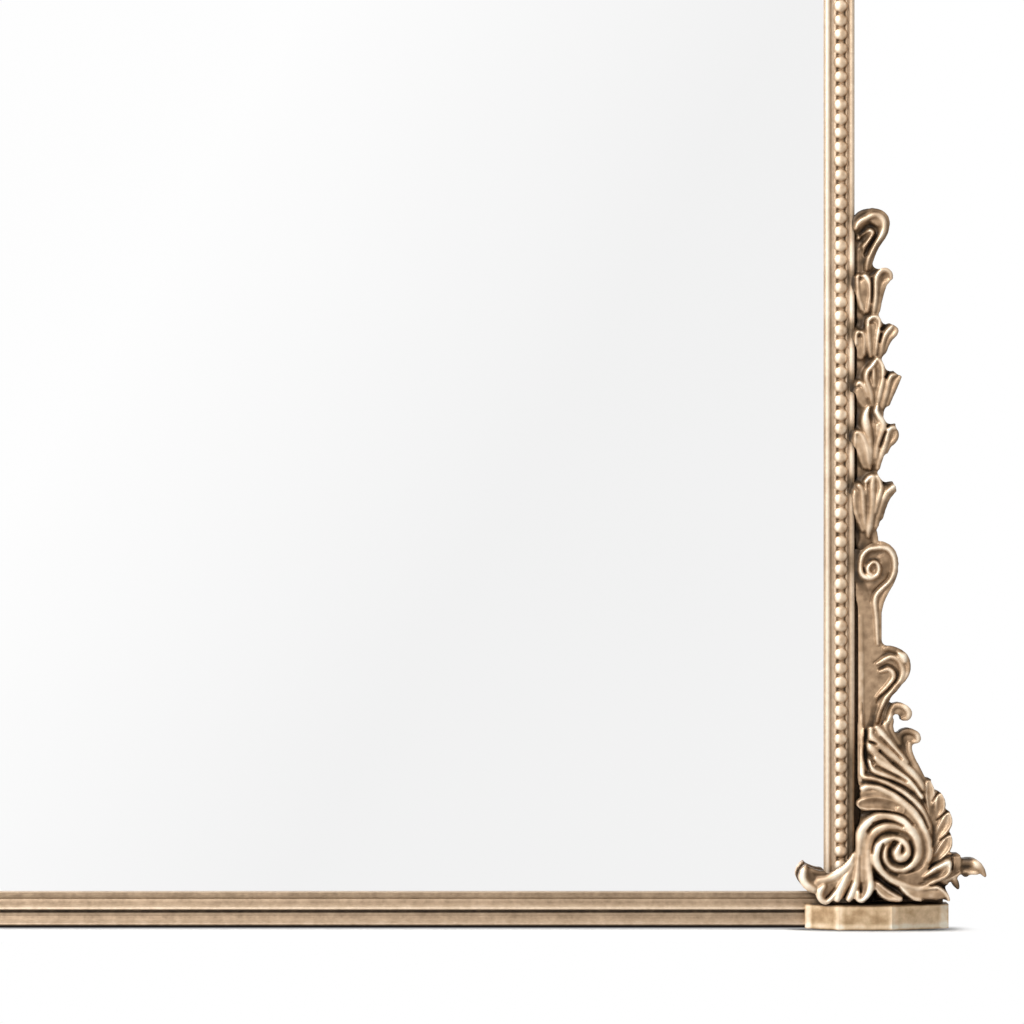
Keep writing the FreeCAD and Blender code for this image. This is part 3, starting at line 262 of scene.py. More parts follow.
scroll_flats = strokes([
    # Ground between the broad leaf and its ridge, and of the leaf below the leaflets.
    [(80, 1080, 34, 305, 36), (200, 1088, 34, 308, 36), (330, 1055, 34, 312, 34),
     (440, 990, 34, 314, 32)],
    [(600, 225, 40, 330, 32), (720, 260, 45, 332, 28), (830, 305, 40, 335, 32), (900, 355, 30, 340, 48)],
    # Hollows of the left lobes and of the left curl.
    [(-10, 400, 20, 335, 52), (-55, 280, 26, 345, 46), (-90, 170, 28, 352, 40), (-120, 70, 26, 355, 32)],
    [(-220, 190, 40, 345, 40), (-280, 120, 45, 350, 28), (-310, 60, 30, 352, 24)],
    [(-200, 240, 50, 340, 60), (-300, 215, 65, 345, 60), (-390, 200, 70, 345, 55)],
    [(-485, 340, 25, 350, 35), (-455, 275, 35, 345, 25), (-415, 225, 30, 345, 12)],
    # Ground between the turns of the volute.
    [(345, 590, 24, 320, 21), (335, 500, 28, 320, 13), (370, 415, 28, 320, 13), (440, 390, 26, 320, 15),
     (515, 415, 26, 320, 19), (560, 490, 26, 322, 23), (555, 580, 28, 322, 23), (520, 660, 30, 320, 23),
     (450, 700, 30, 318, 23), (360, 710, 30, 316, 23), (270, 690, 28, 316, 23), (200, 630, 26, 316, 25)],
    # Body of the fan between its left edge and the lip that wraps the volute.
    [(85, 690, 30, 340, 62), (80, 600, 36, 345, 60), (78, 500, 36, 350, 58), (75, 400, 34, 354, 58),
     (72, 300, 28, 356, 56), (68, 220, 20, 350, 48)],
    # Slope between the broad leaf's ridge and the volute, and the hollow under the volute.
    [(440, 930, 45, 325, 40), (520, 865, 40, 322, 38), (580, 785, 38, 320, 38), (630, 700, 36, 318, 38),
     (660, 610, 34, 314, 38), (670, 520, 32, 310, 36), (650, 430, 30, 306, 36), (600, 350, 30, 302, 34)],
    [(340, 310, 20, 322, 28), (420, 270, 35, 325, 27), (500, 250, 50, 328, 29), (580, 260, 60, 330, 33),
     (660, 290, 60, 328, 38), (700, 350, 40, 320, 42)],
    [(400, 225, 30, 335, 30), (500, 205, 32, 335, 30), (600, 195, 32, 335, 30)],
    [(500, 145, 26, 366, 58), (560, 115, 36, 366, 52)],
    # Hollows of the upright fan.
    [(200, 1375, 20, 262, 30), (290, 1325, 20, 262, 30), (380, 1280, 20, 262, 30),
     (460, 1240, 20, 262, 30), (530, 1200, 18, 262, 30)],
    [(200, 1690, 18, 255, 35), (245, 1630, 18, 255, 30), (310, 1560, 18, 255, 30),
     (370, 1505, 18, 255, 32), (430, 1455, 16, 255, 40)],
    # Bodies of the hooks and the root of the upper one.
    [(390, 1910, 30, 180, 50), (450, 1900, 34, 180, 42), (475, 1865, 24, 170, 20)],
    [(350, 1980, 22, 110, 15), (310, 1900, 28, 110, 20), (300, 1830, 22, 120, 20)],
    [(500, 1630, 44, 170, 22), (575, 1650, 30, 175, 50)],
    # Spine behind the leaflets, and painted shade on their upper tips.
    [(780, 950, 30, 200, 25), (790, 800, 35, 200, 22), (790, 650, 30, 200, 22), (775, 560, 20, 205, 25)],
    [(720, 1232, 12, 200, 12), (750, 1226, 12, 200, 12)],
    [(825, 1100, 14, 195, 15), (850, 1090, 12, 195, 15)],
    [(905, 915, 14, 195, 12), (935, 905, 12, 195, 12)],
    [(925, 690, 14, 195, 12), (950, 680, 12, 195, 12)],
    # Small ring's hollow, band along the foot and leaf at the volute's foot.
    [(1090, 275, 22, 215, 15), (1115, 275, 22, 215, 15)],
    [(480, 135, 30, 355, 55), (560, 100, 45, 362, 50), (660, 90, 48, 365, 45), (760, 90, 50, 365, 45),
     (850, 75, 45, 362, 40)],
    [(200, 190, 34, 335, 50), (260, 120, 42, 340, 50), (340, 70, 40, 345, 42), (430, 45, 28, 350, 50)],
])

scroll_cuts = strokes([
    # Gaps between the leaflets and between the band and the upright fan.
    [(775, 1010, 7, 150, 22), (800, 1060, 9, 150, 15), (835, 1092, 9, 150, 12)],
    [(820, 820, 8, 150, 20), (875, 872, 10, 150, 12), (925, 908, 10, 150, 8)],
    [(850, 620, 8, 150, 20), (900, 656, 10, 150, 12), (945, 682, 10, 150, 8)],
    [(105, 1640, 16, 120, 12), (104, 1500, 20, 120, 5), (114, 1400, 17, 120, 5), (140, 1320, 12, 140, 8)],
    # Grooves between the band, the broad leaf and the upright fan.
    [(70, 1200, 11, 180, 10), (250, 1175, 12, 180, 8), (430, 1090, 12, 180, 8), (570, 980, 11, 190, 10),
     (660, 870, 9, 200, 15), (720, 740, 8, 210, 25)],
    [(110, 1300, 11, 160, 13), (200, 1265, 11, 170, 10), (330, 1225, 11, 180, 8), (470, 1165, 11, 190, 8),
     (600, 1070, 10, 200, 10), (690, 970, 8, 200, 17)],
    [(240, 1515, 9, 190, 17), (400, 1365, 9, 190, 13), (560, 1235, 9, 190, 13), (670, 1090, 8, 190, 17)],
    # Grooves in the lobes of the upright fan, the notch between them and the shade left of its tip.
    [(250, 1655, 6, 210, 38), (290, 1610, 8, 200, 26), (360, 1540, 8, 200, 22), (425, 1470, 8, 200, 24),
     (460, 1430, 6, 210, 38)],
    [(205, 1360, 6, 210, 38), (260, 1340, 8, 200, 26), (350, 1295, 9, 200, 22), (440, 1250, 9, 200, 22),
     (510, 1210, 7, 210, 32)],
    [(140, 1605, 12, 140, 6), (180, 1595, 10, 160, 10), (210, 1580, 7, 190, 22)],
    [(112, 1720, 22, 110, 6), (112, 1660, 20, 110, 5), (106, 1600, 18, 120, 5)],
    # Grooves under the broad leaf and round the volute.
    [(60, 905, 11, 180, 8), (200, 915, 10, 190, 10), (350, 905, 10, 200, 13), (480, 865, 9, 220, 20),
     (570, 780, 9, 240, 30)],
    [(170, 800, 9, 250, 37), (260, 815, 9, 250, 35), (380, 805, 9, 250, 33), (470, 770, 8, 260, 37)],
    [(420, 690, 9, 250, 33), (320, 700, 9, 250, 30), (235, 670, 9, 250, 33), (180, 600, 9, 260, 40),
     (160, 500, 8, 270, 45)],
    [(270, 590, 9, 260, 30), (245, 520, 9, 260, 27), (243, 440, 9, 260, 27), (275, 370, 9, 260, 29),
     (330, 310, 10, 260, 29), (410, 280, 11, 260, 31)],
    [(375, 610, 8, 270, 22), (345, 540, 11, 260, 16), (340, 470, 11, 260, 15), (375, 412, 9, 260, 16),
     (440, 392, 9, 260, 18), (510, 412, 9, 260, 20), (555, 470, 11, 260, 19), (562, 545, 10, 260, 21),
     (540, 620, 9, 270, 25)],
    [(450, 515, 10, 330, 30), (462, 555, 9, 300, 25)],
    # Dark gap at the foot, between the fan and the leaf, and the line above the foot's band.
    [(180, 20, 22, 120, 0), (195, 70, 18, 120, 0), (190, 120, 9, 160, 10)],
    [(260, 20, 20, 120, 0), (210, 20, 22, 120, 0)],
    [(300, 210, 9, 250, 25), (380, 150, 9, 250, 20), (450, 90, 9, 240, 17), (500, 45, 8, 230, 15)],
    [(740, 178, 7, 300, 30), (810, 185, 8, 280, 22), (860, 178, 10, 240, 10), (885, 155, 11, 220, 8),
     (900, 130, 9, 220, 15)],
    [(800, 26, 9, 250, 15), (850, 32, 13, 220, 6), (885, 36, 10, 220, 10)],
    # Hollow of the leaf below the leaflets, the gap above it and the shade on the turned back tip.
    [(690, 235, 18, 305, 26), (760, 265, 22, 300, 18), (830, 300, 20, 305, 22), (870, 330, 12, 320, 40)],
    [(730, 340, 9, 220, 18), (770, 375, 13, 200, 8), (820, 404, 12, 200, 12), (860, 420, 11, 200, 10),
     (900, 447, 13, 190, 6), (955, 468, 13, 200, 7), (1040, 474, 10, 220, 18)],
    [(965, 450, 12, 210, 10), (968, 390, 11, 210, 14), (960, 330, 12, 210, 18)],
    # Clefts between the lobes of the fan over the stile's foot.
    [(50, 200, 8, 300, 36), (45, 110, 11, 270, 22)],
    [(-40, 220, 7, 290, 36), (-85, 120, 10, 260, 20), (-120, 50, 11, 240, 14)],
    [(-210, 150, 7, 300, 38), (-260, 90, 10, 280, 26), (-300, 50, 9, 280, 24)],
])

console_core_outline = outline([
    (34, 1200), (34, 2000), (34, 2900), (15, 3020), (15, 3280), (30, 3460), (120, 3560), (200, 3600),
    (280, 3610), (370, 3560), (425, 3460), (438, 3360), (420, 3260), (375, 3160), (325, 3070),
    (290, 2980), (272, 2900), (272, 2750), (275, 2580), (320, 2565), (400, 2555), (480, 2520),
    (545, 2450), (562, 2360), (545, 2270), (490, 2190), (430, 2110), (370, 2040), (340, 1960),
    (300, 1860), (260, 1740), (200, 1620), (160, 1400), (130, 1220),
])
console_core_height = 0.09

console_rolls = strokes([
    # Ridge up the outer edge, round the volute at the head and in to its eye.
    [(232, 2580, 18, 118, 66), (225, 2700, 20, 120, 68), (220, 2820, 21, 123, 68),
     (210, 2920, 22, 126, 72), (203, 3000, 22, 130, 75), (212, 3060, 21, 133, 78),
     (250, 3110, 20, 137, 85), (295, 3155, 20, 142, 88), (335, 3200, 21, 147, 85),
     (370, 3245, 22, 152, 78), (395, 3305, 23, 156, 70), (400, 3370, 23, 160, 75),
     (395, 3430, 23, 162, 85), (370, 3490, 23, 163, 88), (330, 3530, 23, 163, 90),
     (270, 3545, 22, 162, 78), (210, 3540, 21, 160, 75), (150, 3530, 20, 158, 78),
     (112, 3505, 20, 156, 80), (80, 3465, 20, 155, 72), (63, 3410, 20, 155, 64), (56, 3350, 21, 156, 75),
     (64, 3295, 22, 158, 88), (95, 3255, 23, 160, 92), (140, 3240, 22, 162, 80), (190, 3250, 21, 164, 85),
     (230, 3285, 20, 166, 80), (240, 3335, 19, 167, 75), (228, 3380, 18, 167, 80),
     (195, 3400, 16, 166, 70), (155, 3380, 16, 165, 70), (130, 3340, 18, 165, 85),
     (135, 3295, 18, 165, 85), (165, 3270, 18, 165, 85)],
    # S scroll: its ridge, the bright turn, the outer edge and the inner hook.
    [(220, 2380, 14, 115, 67), (270, 2405, 18, 120, 72), (320, 2435, 20, 126, 69),
     (370, 2450, 21, 132, 69), (415, 2435, 22, 138, 67), (450, 2400, 24, 142, 65),
     (475, 2350, 28, 145, 57), (485, 2290, 28, 145, 65), (460, 2225, 26, 143, 67),
     (420, 2175, 24, 140, 63), (380, 2125, 22, 137, 61), (340, 2075, 21, 134, 69),
     (310, 2035, 20, 131, 82), (285, 1985, 20, 128, 65), (260, 1925, 20, 124, 57),
     (238, 1860, 20, 120, 55), (225, 1800, 18, 115, 42)],
    [(440, 2485, 18, 150, 92), (485, 2450, 34, 160, 97), (500, 2410, 24, 155, 92)],
    [(530, 2420, 22, 140, 47), (540, 2360, 22, 142, 47), (530, 2290, 22, 140, 52),
     (500, 2230, 20, 136, 52), (455, 2175, 18, 130, 47), (410, 2120, 18, 125, 47)],
    [(250, 2300, 18, 112, 52), (295, 2315, 22, 118, 62), (340, 2325, 22, 124, 77),
     (378, 2300, 22, 127, 77), (390, 2255, 22, 128, 72), (372, 2210, 22, 127, 79),
     (335, 2165, 21, 124, 72), (295, 2120, 20, 120, 59), (255, 2080, 18, 116, 52),
     (220, 2040, 16, 110, 42)],
])

console_flats = strokes([
    # Shade between the volute and the stile's round edge.
    [(20, 3500, 34, 110, 4), (10, 3400, 36, 105, 2), (10, 3300, 34, 105, 2), (20, 3220, 30, 100, 6)],
    # Lighter inner edge of the board.
    [(68, 1220, 26, 104, 66), (68, 2000, 28, 102, 58), (68, 2400, 26, 100, 54), (60, 2850, 24, 98, 52)],
    # Painted shade on the ground inside the volute and on the fall outside its ridge.
    [(300, 3420, 80, 108, 38), (290, 3280, 80, 106, 36), (200, 3160, 80, 100, 32)],
    [(50, 3210, 40, 98, 8), (80, 3150, 55, 96, 20), (105, 3060, 55, 96, 34)],
    [(260, 3595, 16, 125, 45), (330, 3570, 18, 125, 45), (385, 3515, 20, 125, 48),
     (415, 3440, 20, 125, 50), (420, 3360, 20, 125, 50), (410, 3270, 20, 120, 50),
     (370, 3180, 22, 115, 42), (330, 3110, 22, 110, 40), (295, 3040, 22, 106, 38),
     (270, 2960, 20, 103, 42), (255, 2850, 18, 100, 46), (258, 2620, 18, 100, 46)],
    # Shaded top of the S scroll and the shaded foot of the board.
    [(300, 2530, 22, 112, 40), (350, 2535, 24, 116, 40), (410, 2515, 24, 120, 34),
     (470, 2500, 14, 122, 22), (520, 2465, 14, 122, 25)],
    [(190, 2060, 40, 92, 40), (190, 1920, 45, 92, 28), (170, 1800, 50, 92, 12), (130, 1700, 50, 92, 6),
     (110, 1560, 45, 92, 6)],
])

console_cuts = strokes([
    # Grooves beside the S scroll and its inner hook.
    [(200, 2390, 12, 80, 30), (250, 2430, 12, 80, 22), (300, 2470, 14, 80, 12), (350, 2485, 12, 85, 25),
     (420, 2475, 12, 90, 28)],
    [(250, 2330, 14, 70, 20), (290, 2350, 16, 70, 12), (330, 2370, 16, 70, 6), (380, 2350, 16, 70, 10),
     (420, 2310, 18, 70, 8), (435, 2270, 18, 70, 5), (420, 2220, 16, 70, 8), (380, 2170, 15, 70, 10),
     (340, 2120, 15, 70, 10), (290, 2075, 15, 70, 14), (250, 2040, 15, 70, 18), (230, 1990, 14, 70, 22)],
    # Groove inside the volute's ridge, and the dark arcs round its eye.
    [(160, 3000, 12, 80, 25), (190, 3090, 14, 80, 22), (250, 3160, 14, 80, 20), (320, 3220, 16, 85, 22),
     (350, 3280, 14, 90, 32)],
    [(120, 3385, 14, 90, 12), (150, 3420, 13, 90, 6), (190, 3432, 13, 90, 5), (235, 3420, 12, 90, 10),
     (255, 3390, 10, 90, 25)],
    [(90, 3340, 12, 90, 10), (105, 3290, 12, 90, 10)],
])

drop_core_outline = outline([
    (22, 3520), (22, 4200), (22, 5200), (22, 6100), (30, 6600), (60, 6700), (150, 6640), (130, 6450),
    (130, 6250), (200, 6100), (180, 5800), (230, 5600), (200, 5350), (230, 5100), (190, 4800),
    (230, 4550), (190, 4300), (230, 4000), (200, 3700), (220, 3520),
])
drop_core_height = 0.06

drop_rolls = strokes([
    # Curl at the top: its ridge, the shaded edge outside it, and the inner hook.
    [(10, 6735, 16, 175, 57), (30, 6780, 20, 180, 77), (65, 6815, 22, 185, 79), (115, 6840, 23, 188, 77),
     (165, 6865, 24, 190, 69), (215, 6870, 26, 190, 59), (260, 6850, 28, 190, 69),
     (288, 6805, 29, 190, 72), (292, 6745, 28, 190, 72), (275, 6690, 26, 189, 82),
     (240, 6635, 24, 187, 69), (205, 6580, 23, 184, 62), (172, 6520, 22, 180, 59),
     (145, 6455, 21, 176, 55), (127, 6390, 20, 170, 52), (120, 6330, 18, 160, 42)],
    [(0, 6740, 26, 150, 22), (8, 6830, 30, 150, 9), (60, 6885, 30, 150, 9), (130, 6910, 26, 150, 15),
     (200, 6915, 24, 150, 32), (270, 6895, 22, 150, 42), (320, 6840, 22, 150, 42),
     (328, 6760, 20, 150, 42), (305, 6675, 20, 150, 42), (260, 6600, 18, 150, 39),
     (215, 6530, 18, 148, 39), (175, 6430, 18, 145, 39), (150, 6340, 16, 140, 37)],
    [(35, 6640, 14, 150, 57), (65, 6680, 18, 155, 62), (110, 6715, 20, 160, 72), (155, 6720, 21, 165, 89),
     (185, 6695, 20, 165, 72), (165, 6645, 20, 163, 59), (130, 6600, 20, 160, 57),
     (95, 6560, 20, 155, 47), (75, 6500, 20, 148, 35), (70, 6420, 20, 140, 27)],
    # First husk: left lobe and right curl.
    [(20, 6245, 16, 168, 67), (55, 6275, 16, 175, 57), (105, 6255, 22, 180, 97), (138, 6205, 20, 183, 82),
     (150, 6140, 18, 184, 72), (150, 6060, 18, 183, 67), (140, 5980, 20, 178, 57),
     (125, 5910, 20, 165, 47)],
    [(25, 6240, 18, 168, 62), (30, 6150, 20, 170, 52), (40, 6050, 22, 172, 62), (65, 5970, 24, 170, 63),
     (90, 5900, 22, 160, 47)],
    [(365, 6235, 16, 165, 57), (355, 6290, 20, 178, 69), (315, 6320, 22, 184, 72),
     (265, 6315, 22, 186, 79), (225, 6270, 22, 187, 77), (210, 6200, 22, 187, 72),
     (210, 6110, 22, 186, 69), (205, 6020, 22, 182, 65), (195, 5940, 22, 172, 57),
     (190, 5880, 20, 155, 42)],
    # Second husk: middle lobe, left lobe, right curl and its fold.
    [(115, 5790, 16, 185, 87), (140, 5825, 20, 190, 97), (175, 5850, 18, 193, 82),
     (215, 5850, 18, 194, 77), (245, 5815, 18, 195, 72), (245, 5750, 18, 196, 85),
     (230, 5680, 18, 196, 87), (220, 5600, 18, 193, 72), (210, 5520, 18, 186, 59),
     (205, 5460, 16, 165, 42)],
    [(125, 5800, 20, 185, 92), (135, 5730, 24, 187, 59), (140, 5630, 26, 187, 57),
     (150, 5530, 24, 180, 55), (160, 5460, 20, 160, 42)],
    [(15, 5580, 18, 168, 57), (15, 5670, 16, 168, 62), (40, 5705, 18, 173, 79), (75, 5695, 18, 175, 69),
     (95, 5640, 18, 175, 57), (95, 5560, 20, 172, 57), (90, 5480, 20, 160, 47)],
    [(370, 5755, 16, 180, 72), (345, 5730, 20, 185, 82), (315, 5690, 22, 187, 79),
     (290, 5635, 24, 186, 67), (275, 5570, 24, 183, 59), (265, 5500, 24, 175, 47),
     (255, 5450, 20, 160, 32)],
    [(390, 5755, 16, 168, 32), (415, 5720, 22, 172, 62), (400, 5680, 26, 172, 65),
     (355, 5635, 26, 170, 47), (320, 5570, 24, 166, 43), (295, 5500, 22, 160, 39)],
    # Third husk: the two rims of its middle lobe, its inner ridge, left lobe, right curl and fold.
    [(220, 5435, 14, 190, 82), (195, 5395, 18, 194, 82), (160, 5350, 20, 197, 82),
     (125, 5305, 22, 198, 77), (112, 5245, 22, 198, 69), (128, 5180, 24, 196, 59),
     (155, 5110, 26, 190, 57), (170, 5030, 26, 180, 55), (180, 4970, 22, 160, 42)],
    [(225, 5435, 14, 190, 77), (255, 5400, 18, 193, 75), (278, 5350, 20, 195, 82),
     (282, 5280, 21, 196, 77), (275, 5200, 22, 194, 65), (255, 5120, 24, 190, 69),
     (240, 5040, 24, 180, 67), (225, 4970, 20, 160, 42)],
    [(190, 5330, 18, 182, 57), (190, 5250, 22, 184, 59), (195, 5160, 22, 182, 55)],
    [(20, 5165, 14, 170, 57), (45, 5195, 18, 175, 77), (80, 5170, 20, 178, 79), (110, 5120, 20, 178, 62),
     (130, 5060, 20, 172, 52)],
    [(410, 5270, 16, 180, 52), (370, 5265, 20, 186, 72), (345, 5225, 22, 188, 72),
     (330, 5160, 24, 187, 63), (315, 5090, 26, 184, 59), (295, 5020, 26, 176, 53),
     (275, 4950, 24, 165, 45)],
    [(450, 5250, 20, 165, 57), (420, 5200, 28, 170, 47), (390, 5130, 28, 168, 49),
     (360, 5060, 26, 165, 47), (330, 4980, 24, 158, 42)],
    # Fourth husk: two flames, left lobe, right curl and fold.
    [(140, 4955, 12, 190, 87), (120, 4915, 20, 194, 97), (108, 4860, 30, 197, 97),
     (110, 4800, 40, 198, 82), (125, 4730, 40, 196, 72), (145, 4650, 34, 190, 63),
     (155, 4560, 30, 184, 57), (155, 4470, 28, 176, 59), (150, 4390, 26, 165, 57)],
    [(225, 4965, 14, 190, 87), (215, 4910, 22, 195, 97), (240, 4855, 25, 198, 92),
     (275, 4805, 28, 199, 87), (285, 4750, 30, 197, 72), (265, 4680, 34, 193, 62),
     (240, 4610, 32, 188, 59), (222, 4530, 28, 182, 55), (215, 4450, 26, 175, 52)],
    [(5, 4560, 18, 166, 59), (5, 4645, 16, 170, 72), (12, 4690, 18, 175, 72), (45, 4690, 22, 180, 77),
     (85, 4645, 24, 183, 72), (115, 4570, 26, 184, 63), (130, 4490, 28, 182, 65),
     (140, 4410, 26, 172, 63), (150, 4340, 20, 150, 47)],
    [(400, 4735, 16, 180, 67), (375, 4745, 20, 188, 82), (345, 4725, 22, 190, 85),
     (325, 4680, 22, 189, 75), (315, 4620, 24, 186, 67), (295, 4550, 26, 182, 63),
     (270, 4480, 27, 177, 61), (245, 4410, 27, 170, 57), (230, 4340, 24, 160, 47)],
    [(415, 4710, 20, 165, 42), (418, 4660, 24, 168, 52), (390, 4610, 28, 165, 47),
     (345, 4565, 24, 160, 42), (315, 4500, 20, 156, 39)],
    # Fifth husk: its flutes, and the right curl and fold.
    [(0, 4110, 16, 170, 72), (-5, 4050, 20, 172, 65), (0, 3970, 24, 172, 57), (15, 3890, 24, 170, 55),
     (50, 3800, 22, 165, 52), (80, 3720, 20, 155, 47)],
    [(40, 4165, 22, 185, 77), (70, 4120, 26, 188, 62), (80, 4040, 28, 188, 59), (85, 3940, 30, 185, 57),
     (95, 3830, 30, 178, 55), (110, 3740, 28, 165, 47)],
    [(105, 4200, 16, 190, 92), (145, 4245, 20, 195, 87), (185, 4250, 22, 197, 72),
     (175, 4180, 28, 198, 63), (175, 4080, 32, 198, 63), (175, 3980, 34, 195, 61),
     (165, 3880, 34, 190, 59), (150, 3780, 34, 180, 67), (140, 3720, 28, 170, 72),
     (135, 3660, 20, 150, 47)],
    [(220, 4255, 18, 192, 82), (250, 4205, 20, 196, 69), (262, 4140, 22, 198, 67),
     (245, 4070, 22, 198, 69), (225, 3990, 22, 194, 59), (200, 3900, 22, 188, 57)],
    [(385, 4150, 24, 185, 87), (345, 4115, 26, 185, 77), (305, 4065, 26, 182, 69),
     (275, 4000, 27, 178, 59), (250, 3920, 28, 172, 59), (230, 3840, 27, 165, 52),
     (215, 3760, 24, 155, 47)],
    [(400, 4115, 20, 160, 47), (350, 4065, 24, 160, 42), (315, 4000, 22, 158, 37),
     (285, 3920, 22, 155, 39), (265, 3840, 20, 150, 39)],
])

drop_flats = strokes([
    # Shade beside the stile's round edge, between the husks.
    [(-30, 4180, 20, 130, 5), (-45, 4100, 20, 130, 5)],
    [(-40, 4700, 20, 130, 3), (-45, 4620, 18, 130, 3)],
    [(-30, 5200, 25, 130, 5), (-30, 5120, 25, 130, 6)],
    [(-20, 5720, 18, 130, 8), (-20, 5650, 18, 130, 10)],
    [(-10, 6250, 22, 130, 3), (-15, 6180, 25, 130, 3), (-5, 6120, 15, 130, 10)],
    # Ground inside the top curl and the shaded stem below it.
    [(190, 6810, 30, 155, 42), (235, 6780, 25, 155, 38)],
    [(55, 6680, 30, 90, 8), (150, 6760, 34, 90, 6), (220, 6700, 30, 90, 4), (160, 6580, 30, 90, 6),
     (110, 6480, 30, 90, 12)],
    [(5, 6300, 22, 70, 14), (5, 6480, 22, 70, 16), (8, 6660, 22, 70, 14)],
    [(60, 6520, 35, 90, 25), (60, 6400, 36, 90, 20), (65, 6300, 40, 90, 15)],
    # First husk: ground, fold of the curl and the painted shadow in the gap between them.
    [(90, 6190, 40, 160, 40), (85, 6100, 45, 160, 45), (95, 6000, 40, 158, 45), (110, 5920, 35, 145, 42)],
    [(335, 6215, 22, 155, 45), (295, 6170, 28, 155, 40), (270, 6090, 26, 155, 35),
     (250, 6000, 24, 153, 38), (235, 5910, 22, 145, 40)],
    [(290, 6265, 30, 140, 18), (310, 6240, 26, 140, 25)],
    [(160, 6275, 18, 100, 0), (195, 6300, 18, 100, 0), (225, 6330, 12, 120, 5)],
    [(175, 6240, 14, 100, 2), (175, 6120, 14, 110, 5), (170, 6000, 14, 120, 25)],
    # Stems between the husks, in shade.
    [(60, 5880, 40, 80, 25), (80, 5800, 45, 80, 10), (60, 5740, 36, 80, 10)],
    [(60, 5430, 40, 80, 35), (65, 5340, 44, 80, 25), (50, 5260, 36, 80, 12)],
    [(60, 4970, 40, 80, 35), (60, 4880, 40, 80, 12), (50, 4760, 36, 80, 3)],
    [(80, 4330, 50, 80, 30), (75, 4260, 50, 80, 12), (60, 4210, 36, 80, 5)],
    # Second husk: ground and a wedge of painted shadow.
    [(185, 5750, 40, 170, 42), (185, 5620, 40, 170, 46), (185, 5500, 38, 160, 45)],
    [(50, 5620, 30, 155, 36), (55, 5530, 35, 155, 48), (60, 5460, 35, 140, 42)],
    [(265, 5730, 18, 100, 0), (310, 5765, 16, 100, 0), (350, 5785, 12, 120, 5)],
    [(265, 5680, 14, 110, 8), (245, 5600, 12, 120, 15)],
    # Third husk: hollow under its point, ground, left lobe and a wedge of painted shadow.
    [(225, 5385, 18, 150, 8), (240, 5330, 18, 160, 22), (235, 5250, 18, 165, 30),
     (220, 5150, 16, 168, 45)],
    [(200, 5200, 70, 163, 46), (205, 5080, 60, 158, 45), (200, 4980, 50, 140, 38)],
    [(45, 5110, 40, 165, 50), (65, 5040, 45, 160, 48), (100, 4980, 40, 145, 42)],
    [(310, 5250, 18, 100, 0), (345, 5295, 14, 110, 0), (385, 5305, 12, 130, 8)],
    # Fourth husk: groove between the flames, left lobe's ground, curl's hollow and a wedge of painted
    # shadow.
    [(165, 4890, 20, 120, 0), (190, 4840, 18, 140, 12), (190, 4760, 20, 160, 30),
     (190, 4650, 20, 160, 32), (185, 4520, 20, 155, 34), (185, 4400, 22, 145, 30)],
    [(235, 4760, 35, 185, 60), (235, 4680, 32, 182, 60)],
    [(265, 4980, 34, 120, 36), (265, 4880, 30, 120, 36)],
    [(35, 4630, 35, 165, 55), (60, 4540, 45, 166, 55), (85, 4450, 45, 160, 48), (110, 4370, 40, 145, 40)],
    [(360, 4680, 24, 150, 34), (390, 4660, 22, 150, 45)],
    [(330, 4760, 18, 100, 0), (360, 4772, 14, 120, 4), (400, 4775, 14, 140, 14)],
    [(305, 4700, 14, 120, 15), (275, 4620, 14, 120, 18), (250, 4550, 12, 130, 24)],
    # Fifth husk: body, hollows between the flutes, a wedge of painted shadow and stem.
    [(115, 4060, 75, 150, 46), (120, 3940, 75, 150, 46), (140, 3830, 60, 140, 42),
     (160, 3740, 45, 120, 36)],
    [(35, 4100, 20, 165, 34), (35, 4000, 22, 165, 40), (45, 3900, 25, 165, 50)],
    [(135, 4130, 14, 170, 28), (135, 4040, 16, 170, 20), (135, 3970, 14, 172, 40)],
    [(110, 4170, 14, 182, 55), (115, 4080, 12, 178, 50)],
    [(215, 4190, 12, 175, 35), (215, 4100, 13, 175, 28), (210, 4030, 12, 178, 40)],
    [(290, 4185, 18, 100, 0), (330, 4185, 20, 100, 2), (370, 4195, 18, 120, 6)],
    [(275, 4110, 12, 120, 15), (250, 4030, 12, 130, 22), (215, 3900, 12, 140, 30),
     (190, 3800, 12, 140, 35)],
    [(110, 3700, 60, 100, 38), (115, 3620, 65, 95, 26), (100, 3560, 70, 90, 10)],
    [(200, 3700, 30, 110, 50), (215, 3600, 30, 105, 48)],
])


def smooth_line(rows, spacing, ring=False):
    """A smooth line or ring through the rows, sampled at about the spacing."""
    points = np.array(rows, float)
    count = len(points)
    samples = []
    for i in range(count if ring else count - 1):
        if ring:
            before, start, end, after = (points[(i + k) % count] for k in (-1, 0, 1, 2))
        else:
            start, end = points[i], points[i + 1]
            before = points[i - 1] if i > 0 else 2 * start - end
            after = points[i + 2] if i + 2 < count else 2 * end - start
        steps = max(2, int(np.hypot(*(end - start)[:2]) / spacing))
        t = (np.arange(steps) / steps)[:, None]
        bend_two = 2 * before - 5 * start + 4 * end - after
        bend_three = -before + 3 * start - 3 * end + after
        samples.append(0.5 * (2 * start + (end - before) * t + bend_two * t ** 2 + bend_three * t ** 3))
    if not ring:
        samples.append(points[-1:])
    return np.concatenate(samples)


def softened(values, reach):
    """The grid of values blurred with a bell of that reach, in cells."""
    half = max(1, int(3 * reach))
    bell = np.exp(-0.5 * (np.arange(-half, half + 1) / reach) ** 2)
    bell /= bell.sum()
    for axis in (0, 1):
        width = [(half, half) if k == axis else (0, 0) for k in (0, 1)]
        padded = np.pad(values, width, mode="edge")
        total = np.zeros_like(values)
        for k, weight in enumerate(bell):
            part = padded[k:k + values.shape[0], :] if axis == 0 else padded[:, k:k + values.shape[1]]
            total += weight * part
        values = total
    return values


